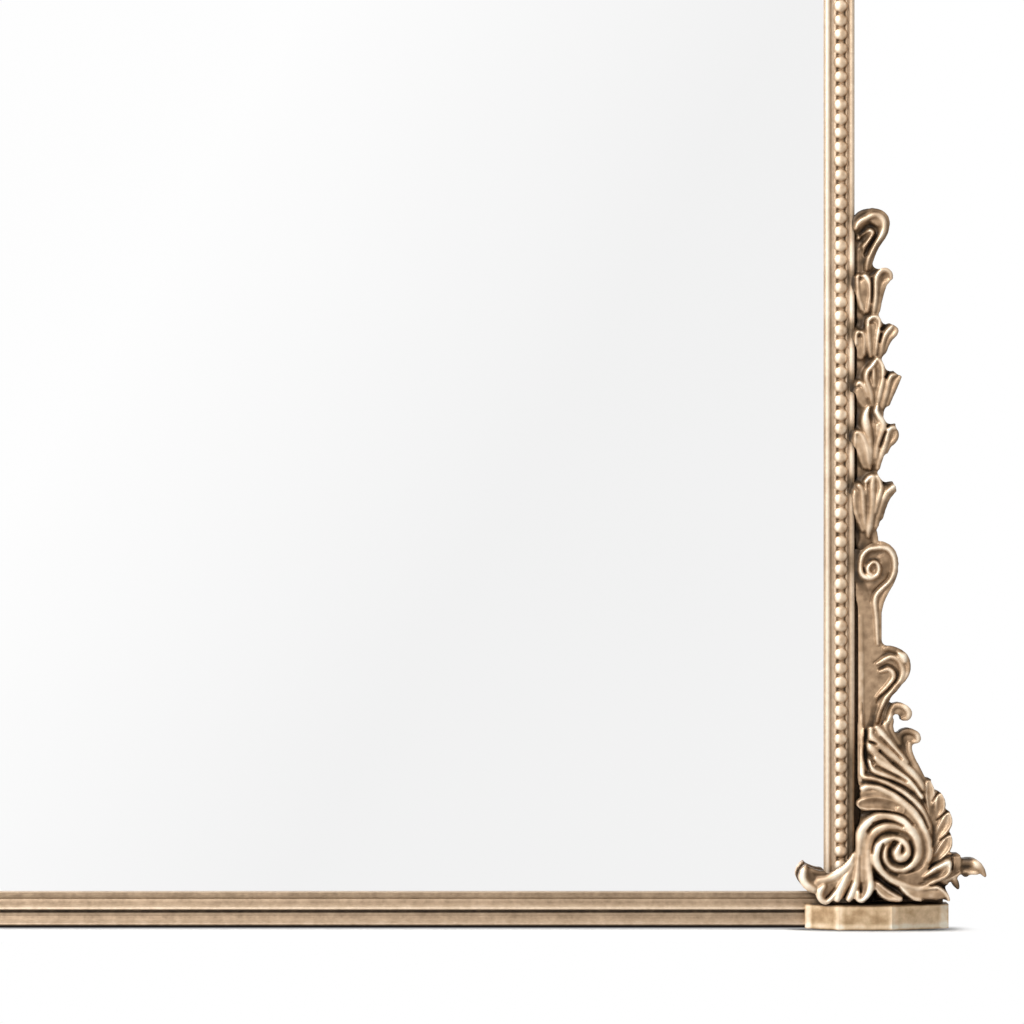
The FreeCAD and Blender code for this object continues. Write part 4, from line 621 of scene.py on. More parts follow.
def grown(mask, cells):
    """The mask widened by a disc of that many cells."""
    padded = np.pad(mask, cells)
    total = np.zeros_like(mask)
    for i in range(-cells, cells + 1):
        for j in range(-cells, cells + 1):
            if i * i + j * j <= cells * cells:
                rows = slice(cells + i, cells + i + mask.shape[0])
                total |= padded[rows, cells + j:cells + j + mask.shape[1]]
    return total


def filled(mask, cells):
    """The mask with its narrow gaps filled."""
    wide = grown(np.pad(mask, cells), cells)
    return ~grown(~wide, cells)[cells:-cells, cells:-cells]


class Relief:
    """A carving as heights over a fine grid, in shares of the carving grid, and the tone of its patina and
    painted shade.
    """

    def __init__(self, across, up):
        self.across = np.arange(*across, relief_cell)
        self.up = np.arange(*up, relief_cell)
        self.height = np.full((len(self.up), len(self.across)), nothing)
        self.patina_and_shade = np.zeros(self.height.shape)

    def inside(self):
        """Where the relief has any height."""
        return self.height > nothing / 2

    def around(self, values, reach):
        """The mean of the values near each cell, over the relief alone."""
        inside = self.inside()
        cells = reach / relief_cell
        weight = np.maximum(softened(inside.astype(float), cells), least_weight)
        return softened(np.where(inside, values, 0.0), cells) / weight

    def core(self, points, level, tone):
        """Fills a smooth outline to a level."""
        edge = smooth_line(points, relief_cell * 2, ring=True)
        across, up = np.meshgrid(self.across, self.up)
        inside = np.zeros(across.shape, bool)
        for (x0, y0), (x1, y1) in zip(edge, np.roll(edge, -1, axis=0)):
            if y0 == y1:
                continue
            crosses = (up < y0) != (up < y1)
            inside ^= crosses & (across < x0 + (x1 - x0) * (up - y0) / (y1 - y0))
        self.height = np.where(inside, level, self.height)
        self.patina_and_shade = np.where(inside, tone, self.patina_and_shade)

    def painted(self, rows):
        """Share of the way from the line to the edge, half width, level and tone under one stroke."""
        share = np.full(self.height.shape, np.inf)
        breadth = np.zeros(self.height.shape)
        level = np.zeros(self.height.shape)
        tone = np.zeros(self.height.shape)
        for x, y, half_width, row_level, row_tone in smooth_line(rows, stroke_spacing):
            half_width = max(half_width, relief_cell)
            left, right = np.searchsorted(self.across, (x - half_width, x + half_width))
            low, high = np.searchsorted(self.up, (y - half_width, y + half_width))
            here = (slice(low, high), slice(left, right))
            away = np.hypot(self.across[None, left:right] - x, self.up[low:high, None] - y) / half_width
            nearer = away < share[here]
            found = ((share, away), (breadth, half_width), (level, row_level), (tone, row_tone))
            for values, value in found:
                values[here] = np.where(nearer, value, values[here])
        return share, breadth, level, tone

    def stroke(self, rows, profile, flank):
        """Lays one tapering stroke with that cross profile, darker by the flank's shade at its edges."""
        share, breadth, level, tone = self.painted(rows)
        covered = share < 1
        way = np.where(covered, share, 1.0)
        laid = level - breadth * profile(way)
        raised = covered & (laid > self.height)
        self.height = np.where(raised, laid, self.height)
        self.patina_and_shade = np.where(raised, tone - flank * way ** 2, self.patina_and_shade)

    def cut(self, rows):
        """Cuts one tapering groove down to its level."""
        share, _, level, tone = self.painted(rows)
        struck = (share < 1) & (self.height > level)
        left_over = np.where(struck, share, 1.0) ** 2
        self.height = np.where(struck, level + (self.height - level) * left_over, self.height)
        self.patina_and_shade = np.where(struck, tone + (self.patina_and_shade - tone) * left_over, self.patina_and_shade)

    def join(self, gap_cells):
        """Fills between the strokes, a little below and darker than them, so that they stand on one body."""
        body = filled(self.inside(), gap_cells)
        level = self.around(self.height, body_reach) - body_sink
        tone = self.around(self.patina_and_shade, body_reach) - body_shade
        low = body & (self.height < level)
        self.height = np.where(low, level, self.height)
        self.patina_and_shade = np.where(low, np.maximum(tone, 0.0), self.patina_and_shade)

    def soften(self):
        """Rounds every edge of the relief and of its patina."""
        inside = self.inside()
        height = np.where(inside, self.around(self.height, edge_reach), nothing)
        self.patina_and_shade = np.where(inside, self.around(self.patina_and_shade, edge_reach), 0.0)
        self.height = height

    def tones(self):
        """The patina and painted shade, darker in hollows, brighter on crests and a little stained."""
        level = np.where(self.inside(), self.height, 0.0)
        fine = level - self.around(level, fine_reach)
        wide = level - self.around(level, wide_reach)
        tone = self.patina_and_shade + fine_gain * fine + wide_gain * wide
        stains = softened(random_source.standard_normal(tone.shape), stain_reach / relief_cell)
        tone = tone + stain_gain * stains / stains.std()
        return np.clip(darkest_tone + tone_span * tone, 0.0, 1.0)


def roll_profile(t):
    """Fall below the crest of a round roll, in half widths."""
    fall = 0.85
    return fall * (1 - np.sqrt(np.maximum(0.0, 1 - t ** 2)))


def leaf_profile(t):
    """Fall below the rims of a hollow leaf, in half widths."""
    rim = 0.72
    hollow = 0.55
    fall = 0.9
    inner = hollow * (1 - np.minimum(t / rim, 1.0) ** 2)
    beyond = np.clip((t - rim) / (1 - rim), 0.0, 1.0)
    outer = fall * (1 - np.sqrt(1 - beyond ** 2))
    return np.where(t < rim, inner, outer)


def flat_profile(t):
    """Fall below a flat band that rounds off at its edges, in half widths."""
    fall = 0.25
    return fall * t ** 4


def relief_object(name, relief, side):
    """A closed mesh of the relief, on the right (side 1) or mirrored on the left (side -1)."""
    mask = relief.inside()
    quads = mask[:-1, :-1] & mask[1:, :-1] & mask[:-1, 1:] & mask[1:, 1:]
    used = np.zeros(mask.shape, bool)
    for rows in (slice(None, -1), slice(1, None)):
        for columns in (slice(None, -1), slice(1, None)):
            used[rows, columns] |= quads
    count = int(used.sum())
    index = np.full(mask.shape, -1)
    index[used] = np.arange(count)
    row, column = np.nonzero(used)
    x = frame_half_width + carving_grid * relief.across[column]
    z = carving_foot + carving_lift + carving_grid * relief.up[row]
    front = -carving_grid * relief.height[used]
    back = np.where(x < frame_half_width + stile_gap, roll_front - stile_gap, carving_back)
    back = np.maximum(back, front + stile_gap)

    i, j = np.nonzero(quads)
    front_faces = np.stack([index[i, j], index[i, j + 1], index[i + 1, j + 1], index[i + 1, j]], axis=1)
    back_faces = front_faces[:, ::-1] + count
    ring = np.pad(quads, 1)
    below, above = ring[:-1, 1:-1], ring[1:, 1:-1]
    left, right = ring[1:-1, :-1], ring[1:-1, 1:]
    edges = []
    for chosen, along_row, forward in (
        (above & ~below, True, False), (below & ~above, True, True),
        (right & ~left, False, True), (left & ~right, False, False),
    ):
        a, b = np.nonzero(chosen)
        start = index[a, b]
        end = index[a, b + 1] if along_row else index[a + 1, b]
        edges.append(np.stack([start, end] if forward else [end, start], axis=1))
    edges = np.concatenate(edges)
    walls = np.stack([edges[:, 0], edges[:, 1], edges[:, 1] + count, edges[:, 0] + count], axis=1)

    # The outline is evened out along its edge, so that no grid steps are left in it.
    rim = np.bincount(edges.ravel(), minlength=count) == 2
    for _ in range(outline_rounds):
        for values in (x, z):
            total = np.zeros(count)
            np.add.at(total, edges[:, 0], values[edges[:, 1]])
            np.add.at(total, edges[:, 1], values[edges[:, 0]])
            values[rim] = 0.5 * values[rim] + 0.25 * total[rim]

    points = np.concatenate([
        np.stack([side * x, front, z], axis=1), np.stack([side * x, back, z], axis=1),
    ])
    faces = np.concatenate([front_faces, back_faces, walls])
    if side < 0:
        faces = faces[:, ::-1]
    # The back points take back_tone, so the walls darken towards the back: painted shade along the carving's
    # sides.
    tone = np.concatenate([relief.tones()[used], np.full(count, back_tone)])
    return mesh_object(name, points, faces, tone)


def mesh_object(name, points, faces, tone):
    """A smooth shaded mesh of four sided faces, with a tone at each point."""
    mesh = bpy.data.meshes.new(name)
    mesh.vertices.add(len(points))
    mesh.vertices.foreach_set("co", np.asarray(points, np.float32).ravel())
    mesh.loops.add(faces.size)
    mesh.loops.foreach_set("vertex_index", faces.astype(np.int32).ravel())
    mesh.polygons.add(len(faces))
    mesh.polygons.foreach_set("loop_start", np.arange(0, faces.size, 4, dtype=np.int32))
    mesh.polygons.foreach_set("use_smooth", np.ones(len(faces), bool))
    attribute = mesh.attributes.new("tone", "FLOAT", "POINT")
    attribute.data.foreach_set("value", np.asarray(tone, np.float32))
    mesh.update()
    mesh.validate()
    made = bpy.data.objects.new(name, mesh)
    scene.collection.objects.link(made)
    return made


noise_roughness = 0.55

# Middle of the noise, and of the ramps that hold a change of tone.
middle = 0.5


class Tree:
    """A short way to build a shader out of nodes."""

    def __init__(self, nodes_owner):
        nodes_owner.use_nodes = True
        self.tree = nodes_owner.node_tree
        self.tree.nodes.clear()

    def node(self, kind, **settings):
        """A new node with these settings."""
        made = self.tree.nodes.new(kind)
        for key, value in settings.items():
            setattr(made, key, value)
        return made

    def feed(self, made, **values):
        """Joins sockets to a node's inputs, or sets the inputs; an underscore stands for a space."""
        for key, value in values.items():
            self.put(made.inputs[key.replace("_", " ")], value)

    def put(self, socket, value):
        """Joins a socket to an input, or sets the input to a number or colour."""
        if isinstance(value, bpy.types.NodeSocket):
            self.tree.links.new(value, socket)
        else:
            socket.default_value = value

    def chained(self, kind, values, **settings):
        """The output of a node with these values on its inputs, in their order."""
        made = self.node(kind, **settings)
        for socket, value in zip(made.inputs, values):
            self.put(socket, value)
        return made.outputs[0]

    def math(self, operation, *values):
        """The output of a math node on sockets or numbers."""
        return self.chained("ShaderNodeMath", values, operation=operation)

    def change(self, value):
        """How far a value lies above the middle."""
        return self.math("SUBTRACT", value, middle)

    def mixed(self, share, first, second):
        """The first shader, or the second where the share is 1."""
        return self.chained("ShaderNodeMixShader", (share, first, second))

    def ramp(self, value, stops, interpolation="LINEAR"):
        """A colour ramp through (place, colour) stops; a plain number is a grey."""
        made = self.node("ShaderNodeValToRGB")
        made.color_ramp.interpolation = interpolation
        elements = made.color_ramp.elements
        while len(elements) < len(stops):
            elements.new(0.5)
        for element, (place, colour) in zip(elements, stops):
            element.position = place
            grey = not hasattr(colour, "__len__")
            element.color = (colour, colour, colour, 1.0) if grey else (*colour, 1.0)
        self.put(made.inputs[0], value)
        return made.outputs[0]

    def noise(self, scale, detail, stretch=(1.0, 1.0, 1.0)):
        """Noise over the place of the shaded point, in metres, between about 0.3 and 0.7."""
        mapping = self.node("ShaderNodeMapping")
        self.feed(mapping, Vector=self.node("ShaderNodeNewGeometry").outputs["Position"], Scale=stretch)
        made = self.node("ShaderNodeTexNoise")
        self.feed(made, Vector=mapping.outputs[0], Scale=scale, Detail=detail, Roughness=noise_roughness)
        return made.outputs[0]

    def place(self):
        """The three parts of the place of the shaded point, in metres."""
        parts = self.node("ShaderNodeSeparateXYZ")
        self.put(parts.inputs[0], self.node("ShaderNodeNewGeometry").outputs["Position"])
        return parts.outputs

    def openness(self, reach):
        """1 where nothing stands within the reach, less in hollows and beside other things."""
        made = self.node("ShaderNodeAmbientOcclusion", samples=8)
        self.feed(made, Distance=reach)
        return made.outputs["AO"]

    def bump(self, height, strength, distance):
        """A normal that follows the height."""
        made = self.node("ShaderNodeBump")
        self.feed(made, Strength=strength, Distance=distance, Height=height)
        return made.outputs[0]


def new_material(name):
    """A material with only an output and a principled shader."""
    material = bpy.data.materials.new(name)
    tree = Tree(material)
    output = tree.node("ShaderNodeOutputMaterial")
    shader = tree.node("ShaderNodeBsdfPrincipled")
    tree.put(output.inputs[0], shader.outputs[0])
    return material, tree, shader, output


# Colours of the gold from dark patina to worn bright.
gold_stops = [
    (0.00, (0.0097, 0.0044, 0.0015)),
    (0.15, (0.072, 0.042, 0.019)),
    (0.30, (0.188, 0.115, 0.061)),
    (0.50, (0.418, 0.279, 0.168)),
    (0.75, (0.753, 0.584, 0.418)),
    (1.00, (1.000, 0.913, 0.753)),
]

# The mouldings are a little paler.
moulding_stops = [
    (0.00, (0.0097, 0.0048, 0.0020)),
    (0.15, (0.072, 0.045, 0.023)),
    (0.30, (0.188, 0.125, 0.072)),
    (0.50, (0.418, 0.300, 0.196)),
    (0.75, (0.753, 0.603, 0.450)),
    (1.00, (1.000, 0.913, 0.770)),
]

# The plinths are a little yellower.
plinth_stops = [
    (0.00, (0.0097, 0.0044, 0.0015)),
    (0.30, (0.188, 0.113, 0.055)),
    (0.50, (0.430, 0.278, 0.145)),
    (0.75, (0.790, 0.582, 0.372)),
    (1.00, (1.000, 0.900, 0.730)),
]

mottle_scale = 420.0
mottle_gain = 0.22
crevice_reach = 0.006
gold_metallic = 0.45
dull_roughness = 0.58
worn_polish = 0.22
gold_grain_scale = 900.0
gold_grain_strength = 0.25
gold_grain_depth = 0.0004


def gold(name, tone_of, stops=gold_stops, occlusion=0.0, cloud_scale=60.0, cloud_gain=0.12):
    """Antique gold. tone_of makes the socket that runs from 0, patina and painted shade, to 1, worn bright
    and painted light.
    """
    material, tree, shader, _ = new_material(name)
    tone = tone_of(tree)
    for scale, detail, gain in ((mottle_scale, 5.0, mottle_gain), (cloud_scale, 3.0, cloud_gain)):
        spots = tree.change(tree.noise(scale, detail))
        tone = tree.math("MULTIPLY_ADD", spots, gain, tone)
    if occlusion:
        dark = tree.math("SUBTRACT", tree.openness(crevice_reach), 1.0)
        tone = tree.math("MULTIPLY_ADD", dark, occlusion, tone)
    grain = tree.noise(gold_grain_scale, detail=6.0)
    tree.feed(
        shader, Base_Color=tree.ramp(tone, stops), Metallic=gold_metallic,
        Roughness=tree.math("MULTIPLY_ADD", tone, -worn_polish, dull_roughness),
        Normal=tree.bump(grain, gold_grain_strength, gold_grain_depth),
    )
    return material


def carved_tone(tree):
    """The tone kept at each point of a modelled piece."""
    return tree.node("ShaderNodeAttribute", attribute_name="tone").outputs["Fac"]


# Tone across the stile and arch, by the share of the way from the glass to the outer edge: painted
# highlights on the lip and the outer roll.
moulding_painted_light = [
    (0.00, 0.46), (0.03, 0.50), (0.06, 0.68), (0.10, 0.82), (0.14, 0.84), (0.17, 0.72), (0.21, 0.58),
    (0.25, 0.53), (0.30, 0.56), (0.50, 0.62), (0.68, 0.70), (0.74, 0.76), (0.78, 0.74), (0.81, 0.58),
    (0.85, 0.54), (0.90, 0.58), (0.94, 0.68), (0.97, 0.78), (1.00, 0.62),
]

# Change of tone up the round outer edge, about 0.5, by the share of the way to the arch: painted shade
# where the carvings shade it, and painted light higher up.
outer_edge = [(0.72, 0.15), (0.84, 1.0)]
outer_shade = [
    (0.00, 0.10), (0.09, 0.06), (0.11, 0.18), (0.18, 0.16), (0.20, 0.32), (0.23, 0.46), (0.36, 0.50),
    (0.375, 0.42), (0.385, 0.20), (0.395, 0.30), (0.41, 0.44), (0.50, 0.46), (0.66, 0.56), (0.72, 0.56),
    (0.745, 0.44), (0.755, 0.30), (0.765, 0.44), (0.80, 0.50), (1.00, 0.50),
]

# Painted shade that each husk of the leaf drop casts on the edge beside it, with painted light between
# the husks, from one husk's foot to the next.
husk_shade_foot = 0.22035
husk_pitch = 0.025935
husk_heights = [(0.44, 0.0), (0.47, 1.0), (0.71, 1.0), (0.74, 0.0)]
husk_shade = [
    (0.00, 0.10), (0.12, 0.20), (0.26, 0.56), (0.40, 0.68), (0.60, 0.70), (0.74, 0.56), (0.88, 0.20),
    (1.00, 0.10),
]

# Painted light up the lip and groove beside the glass, as a change of tone about 0.5.
inner_edge = [(0.30, 1.0), (0.45, 0.0)]
inner_light = [
    (0.00, 0.58), (0.26, 0.58), (0.34, 0.55), (0.38, 0.50), (0.60, 0.50), (0.66, 0.54), (1.00, 0.55),
]


def across_moulding_tone(tree):
    """Tone across the stile and arch, from the glass outwards, with painted light and shade up the edges."""
    x, _, z = tree.place()
    rise = tree.math("MAXIMUM", tree.math("SUBTRACT", z, spring_height), 0.0)
    squares = tree.math("ADD", tree.math("MULTIPLY", rise, rise), tree.math("MULTIPLY", x, x))
    share = tree.math("SUBTRACT", tree.math("SQRT", squares), sight_half_width)
    share = tree.math("DIVIDE", share, moulding_face)
    height = tree.math("DIVIDE", z, spring_height)
    turn = tree.math("DIVIDE", tree.math("SUBTRACT", z, husk_shade_foot), husk_pitch)
    husk_light_and_shade = tree.change(tree.ramp(tree.math("FRACT", turn), husk_shade))
    change = tree.change(tree.ramp(height, outer_shade))
    change = tree.math("MULTIPLY_ADD", husk_light_and_shade, tree.ramp(height, husk_heights), change)
    tone = tree.math("MULTIPLY_ADD", change, tree.ramp(share, outer_edge), tree.ramp(share, moulding_painted_light))
    lift = tree.change(tree.ramp(height, inner_light))
    return tree.math("MULTIPLY_ADD", lift, tree.ramp(share, inner_edge), tone)


# Painted highlights on the rail's lips and painted shade under them and at its foot, by the share of its
# height.
rail_painted_light_and_shade = [
    (0.00, 0.04), (0.04, 0.04), (0.07, 0.26), (0.10, 0.46), (0.13, 0.55), (0.16, 0.57), (0.20, 0.48),
    (0.24, 0.42), (0.28, 0.36), (0.32, 0.37), (0.38, 0.45), (0.41, 0.42), (0.44, 0.26), (0.47, 0.14),
    (0.495, 0.32), (0.52, 0.60), (0.56, 0.68), (0.61, 0.57), (0.66, 0.45), (0.72, 0.36), (0.78, 0.43),
    (0.83, 0.50), (0.88, 0.44), (0.94, 0.30), (0.97, 0.31), (1.00, 0.50),
]


def up_rail_tone(tree):
    """Tone up the bottom rail, from the floor to the glass: painted highlights on its lips, painted shade
    under them and at its foot.
    """
    _, _, z = tree.place()
    return tree.ramp(tree.math("DIVIDE", z, rail_high.z), rail_painted_light_and_shade)


# The plinth is bright at its upright edges and along its foot. It has painted shade along its lowest edge
# and along its top, under the carving.
plinth_across = [
    (0.000, 0.60), (0.010, 0.82), (0.028, 0.82), (0.050, 0.52), (0.185, 0.52), (0.210, 0.78),
    (0.240, 0.80), (0.272, 0.53), (0.560, 0.54), (0.587, 0.74), (0.610, 0.84), (0.645, 0.64),
    (0.925, 0.67), (0.951, 0.86), (0.986, 0.86), (1.000, 0.70),
]
plinth_upward = [
    (0.00, 0.25), (0.03, 0.50), (0.07, 0.70), (0.13, 0.75), (0.20, 0.66), (0.27, 0.54), (0.36, 0.49),
    (0.78, 0.50), (0.86, 0.56), (0.93, 0.56), (0.97, 0.30), (1.00, 0.10),
]


def plinth_tone(tree):
    """Tone over the plinth, outwards and changed upwards about 0.5."""
    x, _, z = tree.place()
    share = tree.math("SUBTRACT", tree.math("ABSOLUTE", x), plinth_low.x)
    share = tree.math("DIVIDE", share, plinth_high.x - plinth_low.x)
    rise = tree.math("DIVIDE", z, plinth_high.z)
    change = tree.change(tree.ramp(rise, plinth_upward))
    return tree.math("ADD", tree.ramp(share, plinth_across), change)


plain_bump_strength = 0.3
rough_spread = 0.2
grain_spread = 3


def plain(name, colour, metallic, rough, grain, scale, stretch=(1.0, 1.0, 1.0), bump_height=0.0):
    """A plain finish with a fine grain in its colour and roughness."""
    material, tree, shader, _ = new_material(name)
    texture = tree.noise(scale, detail=5.0, stretch=stretch)
    dark = tuple(c * (1 - grain_spread * grain) for c in colour)
    light = tuple(min(1.0, c * (1 + grain_spread * grain)) for c in colour)
    tree.feed(
        shader, Base_Color=tree.ramp(texture, [(0.3, dark), (0.7, light)]), Metallic=metallic,
        Roughness=tree.math("MULTIPLY_ADD", texture, rough_spread, rough - rough_spread / 2),
    )
    if bump_height:
        tree.feed(shader, Normal=tree.bump(texture, plain_bump_strength, bump_height))
    return material


carved_gold = gold("carved_gold", carved_tone)
moulding_gold = gold("moulding_gold", across_moulding_tone, moulding_stops, occlusion=0.10)
rail_gold = gold("rail_gold", up_rail_tone, moulding_stops, 0.15, cloud_scale=120.0, cloud_gain=0.22)
bead_gold = gold("bead_gold", carved_tone, cloud_scale=190.0, cloud_gain=0.60)
plinth_gold = gold("plinth_gold", plinth_tone, plinth_stops, cloud_scale=170.0, cloud_gain=0.50)

# Colour, metallic, roughness, strength of the grain and its scale.
fibre = plain("fibre_board", (0.27, 0.17, 0.10), 0.0, 0.75, 0.09, 900.0, bump_height=0.0002)
rubber = plain("black_rubber", (0.018, 0.018, 0.019), 0.0, 0.7, 0.1, 700.0, bump_height=0.0002)
mastic = plain("grey_mastic", (0.30, 0.30, 0.29), 0.0, 0.6, 0.06, 300.0)
steel = plain("zinc_steel", (0.62, 0.63, 0.64), 1.0, 0.35, 0.05, 600.0, (1.0, 6.0, 1.0))
brass = plain("hanger_brass", (0.66, 0.47, 0.20), 1.0, 0.35, 0.06, 500.0, (5.0, 1.0, 1.0))


def silver():
    """The silvered glass, a clear mirror."""
    material, tree, shader, _ = new_material("silvered_glass")
    stops = [(0.3, (0.985, 0.985, 0.985)), (0.7, (0.995, 0.995, 0.995))]
    colour = tree.ramp(tree.noise(scale=4.0, detail=2.0), stops)
    tree.feed(shader, Base_Color=colour, Metallic=1.0, Roughness=0.0)
    return material


finishes = {
    "mirror_glass": silver(), "mirror_mastic": mastic, "setting_blocks": rubber, "wall_bumpers": rubber,
    "backing_board": fibre, "frame_dowels": steel, "board_screws": steel, "plinth_screws": steel,
    "hanger_screws": brass, "bottom_rail": rail_gold,
}
side_finishes = (
    (brass, ("hanger_strap", "hanger_ring")),
    (plinth_gold, ("plinth",)),
    (moulding_gold, (
        "stile", "arch_rail", "corner_scroll", "console", "leaf_drop", "bead_strip", "arch_beads",
    )),
)
for side_name in ("left", "right"):
    for material, part_names in side_finishes:
        for part_name in part_names:
            finishes[side_name + "_" + part_name] = material
for node_name, material in finishes.items():
    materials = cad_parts[node_name].data.materials
    materials.clear()
    materials.append(material)


def fitted(obj, material, *nodes):
    """Puts a modelled piece on the mirror in place of its CAD nodes."""
    obj.data.materials.append(material)
    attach(obj, "mirror")
    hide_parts(*nodes)


def swelled(rows, swell):
    """The rows with their half widths swelled, but for the thin ends beside the outer edge."""
    edge = 1.2
    return [(x, y, width * (swell if x < edge else 1.0), level, tone) for x, y, width, level, tone in rows]


scroll = Relief(across=(-0.62, 1.36), up=(-0.01, 2.05))
scroll.core(scroll_core_outline, scroll_core_height, scroll_core_tone)
scroll.core(tip_outline, tip_height, tip_tone)
console = Relief(across=(-0.10, 0.62), up=(1.16, 3.64))
console.core(console_core_outline, console_core_height, console_core_tone)
drop = Relief(across=(-0.10, 0.52), up=(3.48, 7.02))
drop.core(drop_core_outline, drop_core_height, drop_core_tone)

# Each carving with its strokes, how much its rolls and leaves swell, and from how many cells on either
# side a gap in it is filled.
carvings = (
    (scroll, scroll_flats, scroll_cuts, scroll_rolls, scroll_leaves, 1.22, 4),
    (console, console_flats, console_cuts, console_rolls, [], 1.1, 7),
    (drop, drop_flats, [], drop_rolls, [], 1.1, 7),
)
for relief, flats, cuts, rolls, leaves, swell, gap_cells in carvings:
    for rows in flats:
        relief.stroke(rows, flat_profile, 0.0)
    for rows in rolls:
        relief.stroke(swelled(rows, swell), roll_profile, flank_shade)
    for rows in leaves:
        relief.stroke(swelled(rows, swell), leaf_profile, -rim_light)
    relief.join(gap_cells)
    # Flats darker than gap_tone, dark patina grounds and the painted shade and shadows in gaps, are cut in
    # as grooves too.
    gaps = [rows for rows in flats if max(tone for *_, tone in rows) < gap_tone]
    for rows in cuts + gaps:
        relief.cut(rows)
    relief.soften()

for side_name, side in (("right", 1), ("left", -1)):
    for part_name, relief in (("corner_scroll", scroll), ("console", console), ("leaf_drop", drop)):
        carving = relief_object(side_name + "_" + part_name + "_carving", relief, side)
        fitted(carving, carved_gold, side_name + "_" + part_name)


# Pearls on their strips, in metres.
strip_inset = 0.0005
strip_thickness = 0.0008
bead_line = (bead_low.x + bead_high.x) / 2 + strip_inset
strip_half_width = (bead_high.x - bead_low.x) / 2 - strip_inset
strip_back = bead_high.y
strip_front = strip_back - strip_thickness
bead_radius = 0.0035
bead_pitch = 0.00704
bead_phase = 0.15745

# How far a pearl stands out, and the last one's distance from the arch, in radii.
dome_rise = 0.5
arch_clearance = 0.9

# Fineness of a pearl and of the arch's lines, and more pearls either way than a strip can hold.
dome_cells = 12
arch_line_points = 61
most_pearls = 100

# Places across the strip, and the tone there: two dark lines of painted shade beside the pearls.
strip_lines = (
    (-strip_half_width, 0.70), (-0.0027, 0.62), (-0.0019, 0.12), (-0.0009, 0.56), (0.0010, 0.56),
    (0.0020, 0.10), (0.0028, 0.66), (strip_half_width, 0.74),
)

# Spots on a pearl, in radii: how much brighter, place and reach. It has a painted highlight on its left
# and a weaker one on its right, and small painted shadows where it meets the next ones.
pearl_ground = 0.61
pearl_painted_light_and_shade = (
    (0.42, (-0.46, 0.03), (0.21, 0.42)), (0.14, (0.66, 0.0), (0.22, 0.45)),
    (-0.50, (-0.48, -0.92), (0.18, 0.18)), (-0.50, (0.66, -0.85), (0.19, 0.20)),
    (-0.50, (-0.48, 0.92), (0.18, 0.18)), (-0.50, (0.66, 0.85), (0.19, 0.20)),
)


def dome():
    """Points and faces of a round pearl over a square of cells, in radii, and the tone at each point."""
    ticks = np.linspace(-1.0, 1.0, dome_cells + 1)
    a, b = np.meshgrid(ticks, ticks)
    across = a * np.sqrt(1 - b ** 2 / 2)
    up = b * np.sqrt(1 - a ** 2 / 2)
    front = np.sqrt(1 - np.minimum(np.hypot(across, up), 1.0) ** 2)
    index = np.arange((dome_cells + 1) ** 2).reshape(a.shape)
    corners = [index[:-1, :-1], index[:-1, 1:], index[1:, 1:], index[1:, :-1]]
    tone = np.full(a.shape, pearl_ground)
    for gain, (x, y), (reach_across, reach_up) in pearl_painted_light_and_shade:
        tone += gain * np.exp(-0.5 * (((across - x) / reach_across) ** 2 + ((up - y) / reach_up) ** 2))
    tone = np.clip(tone, 0.0, 1.0)
    return across.ravel(), front.ravel(), up.ravel(), np.stack(corners, axis=-1).reshape(-1, 4), tone.ravel()


def pearl_row(name, centres, turns, lines, side):
    """Pearls at their centres (x, z), turned with the row, and the strip they lie on, as lines along it."""
    across, front, up, dome_faces, dome_tone = dome()
    points, faces, tones = [], [], []
    count = 0
    for (x, z), turn in zip(centres, turns):
        out = across * math.cos(turn) - up * math.sin(turn)
        rise = across * math.sin(turn) + up * math.cos(turn)
        depth = strip_front - bead_radius * dome_rise * front
        place = (side * (x + bead_radius * out), depth, z + bead_radius * rise)
        points.append(np.stack(place, axis=1))
        tones.append(dome_tone)
        faces.append((dome_faces if side > 0 else dome_faces[:, ::-1]) + count)
        count += len(across)
    steps = len(lines[0][1])
    around = [(strip_front, *line) for line in lines] + [(strip_back, *lines[-1]), (strip_back, *lines[0])]
    for depth, tone, line in around:
        line = np.array(line)
        points.append(np.stack([side * line[:, 0], np.full(steps, depth), line[:, 1]], axis=1))
        tones.append(np.full(steps, tone))
    rows = [count + k * steps + np.arange(steps) for k in range(len(around))]
    for first, second in zip(rows, rows[1:] + rows[:1]):
        strip = np.stack([first[:-1], second[:-1], second[1:], first[1:]], axis=1)
        faces.append(strip if side > 0 else strip[:, ::-1])
    return mesh_object(name, np.concatenate(points), np.concatenate(faces), np.concatenate(tones))


def on_arch(radius, turn):
    """The place (x, z) on an arc about the arch's centre."""
    return radius * math.cos(turn), spring_height + radius * math.sin(turn)


heights = bead_phase + bead_pitch * np.arange(-most_pearls, most_pearls)
highest_pearl = spring_height - bead_radius * arch_clearance
heights = heights[(heights > bead_low.z + bead_radius) & (heights < highest_pearl)]
straight_centres = [(bead_line, z) for z in heights]
straight_lines = [
    (tone, [(bead_line + offset, z) for z in (bead_low.z, spring_height)]) for offset, tone in strip_lines
]
arch_count = round(math.pi / 2 * bead_line / bead_pitch)
arch_turns = (np.arange(arch_count) + 0.5) * (math.pi / 2) / arch_count
arch_centres = [on_arch(bead_line, turn) for turn in arch_turns]
line_turns = np.linspace(0.0, math.pi / 2, arch_line_points)
arch_lines = [
    (tone, [on_arch(bead_line + offset, turn) for turn in line_turns]) for offset, tone in strip_lines
]
pearl_rows = (
    ("bead_strip", straight_centres, [0.0] * len(heights), straight_lines),
    ("arch_beads", arch_centres, arch_turns, arch_lines),
)
for side_name, side in (("right", 1), ("left", -1)):
    for part_name, centres, turns, lines in pearl_rows:
        pearls = pearl_row(side_name + "_" + part_name + "_pearls", centres, turns, lines, side)
        fitted(pearls, bead_gold, side_name + "_" + part_name)


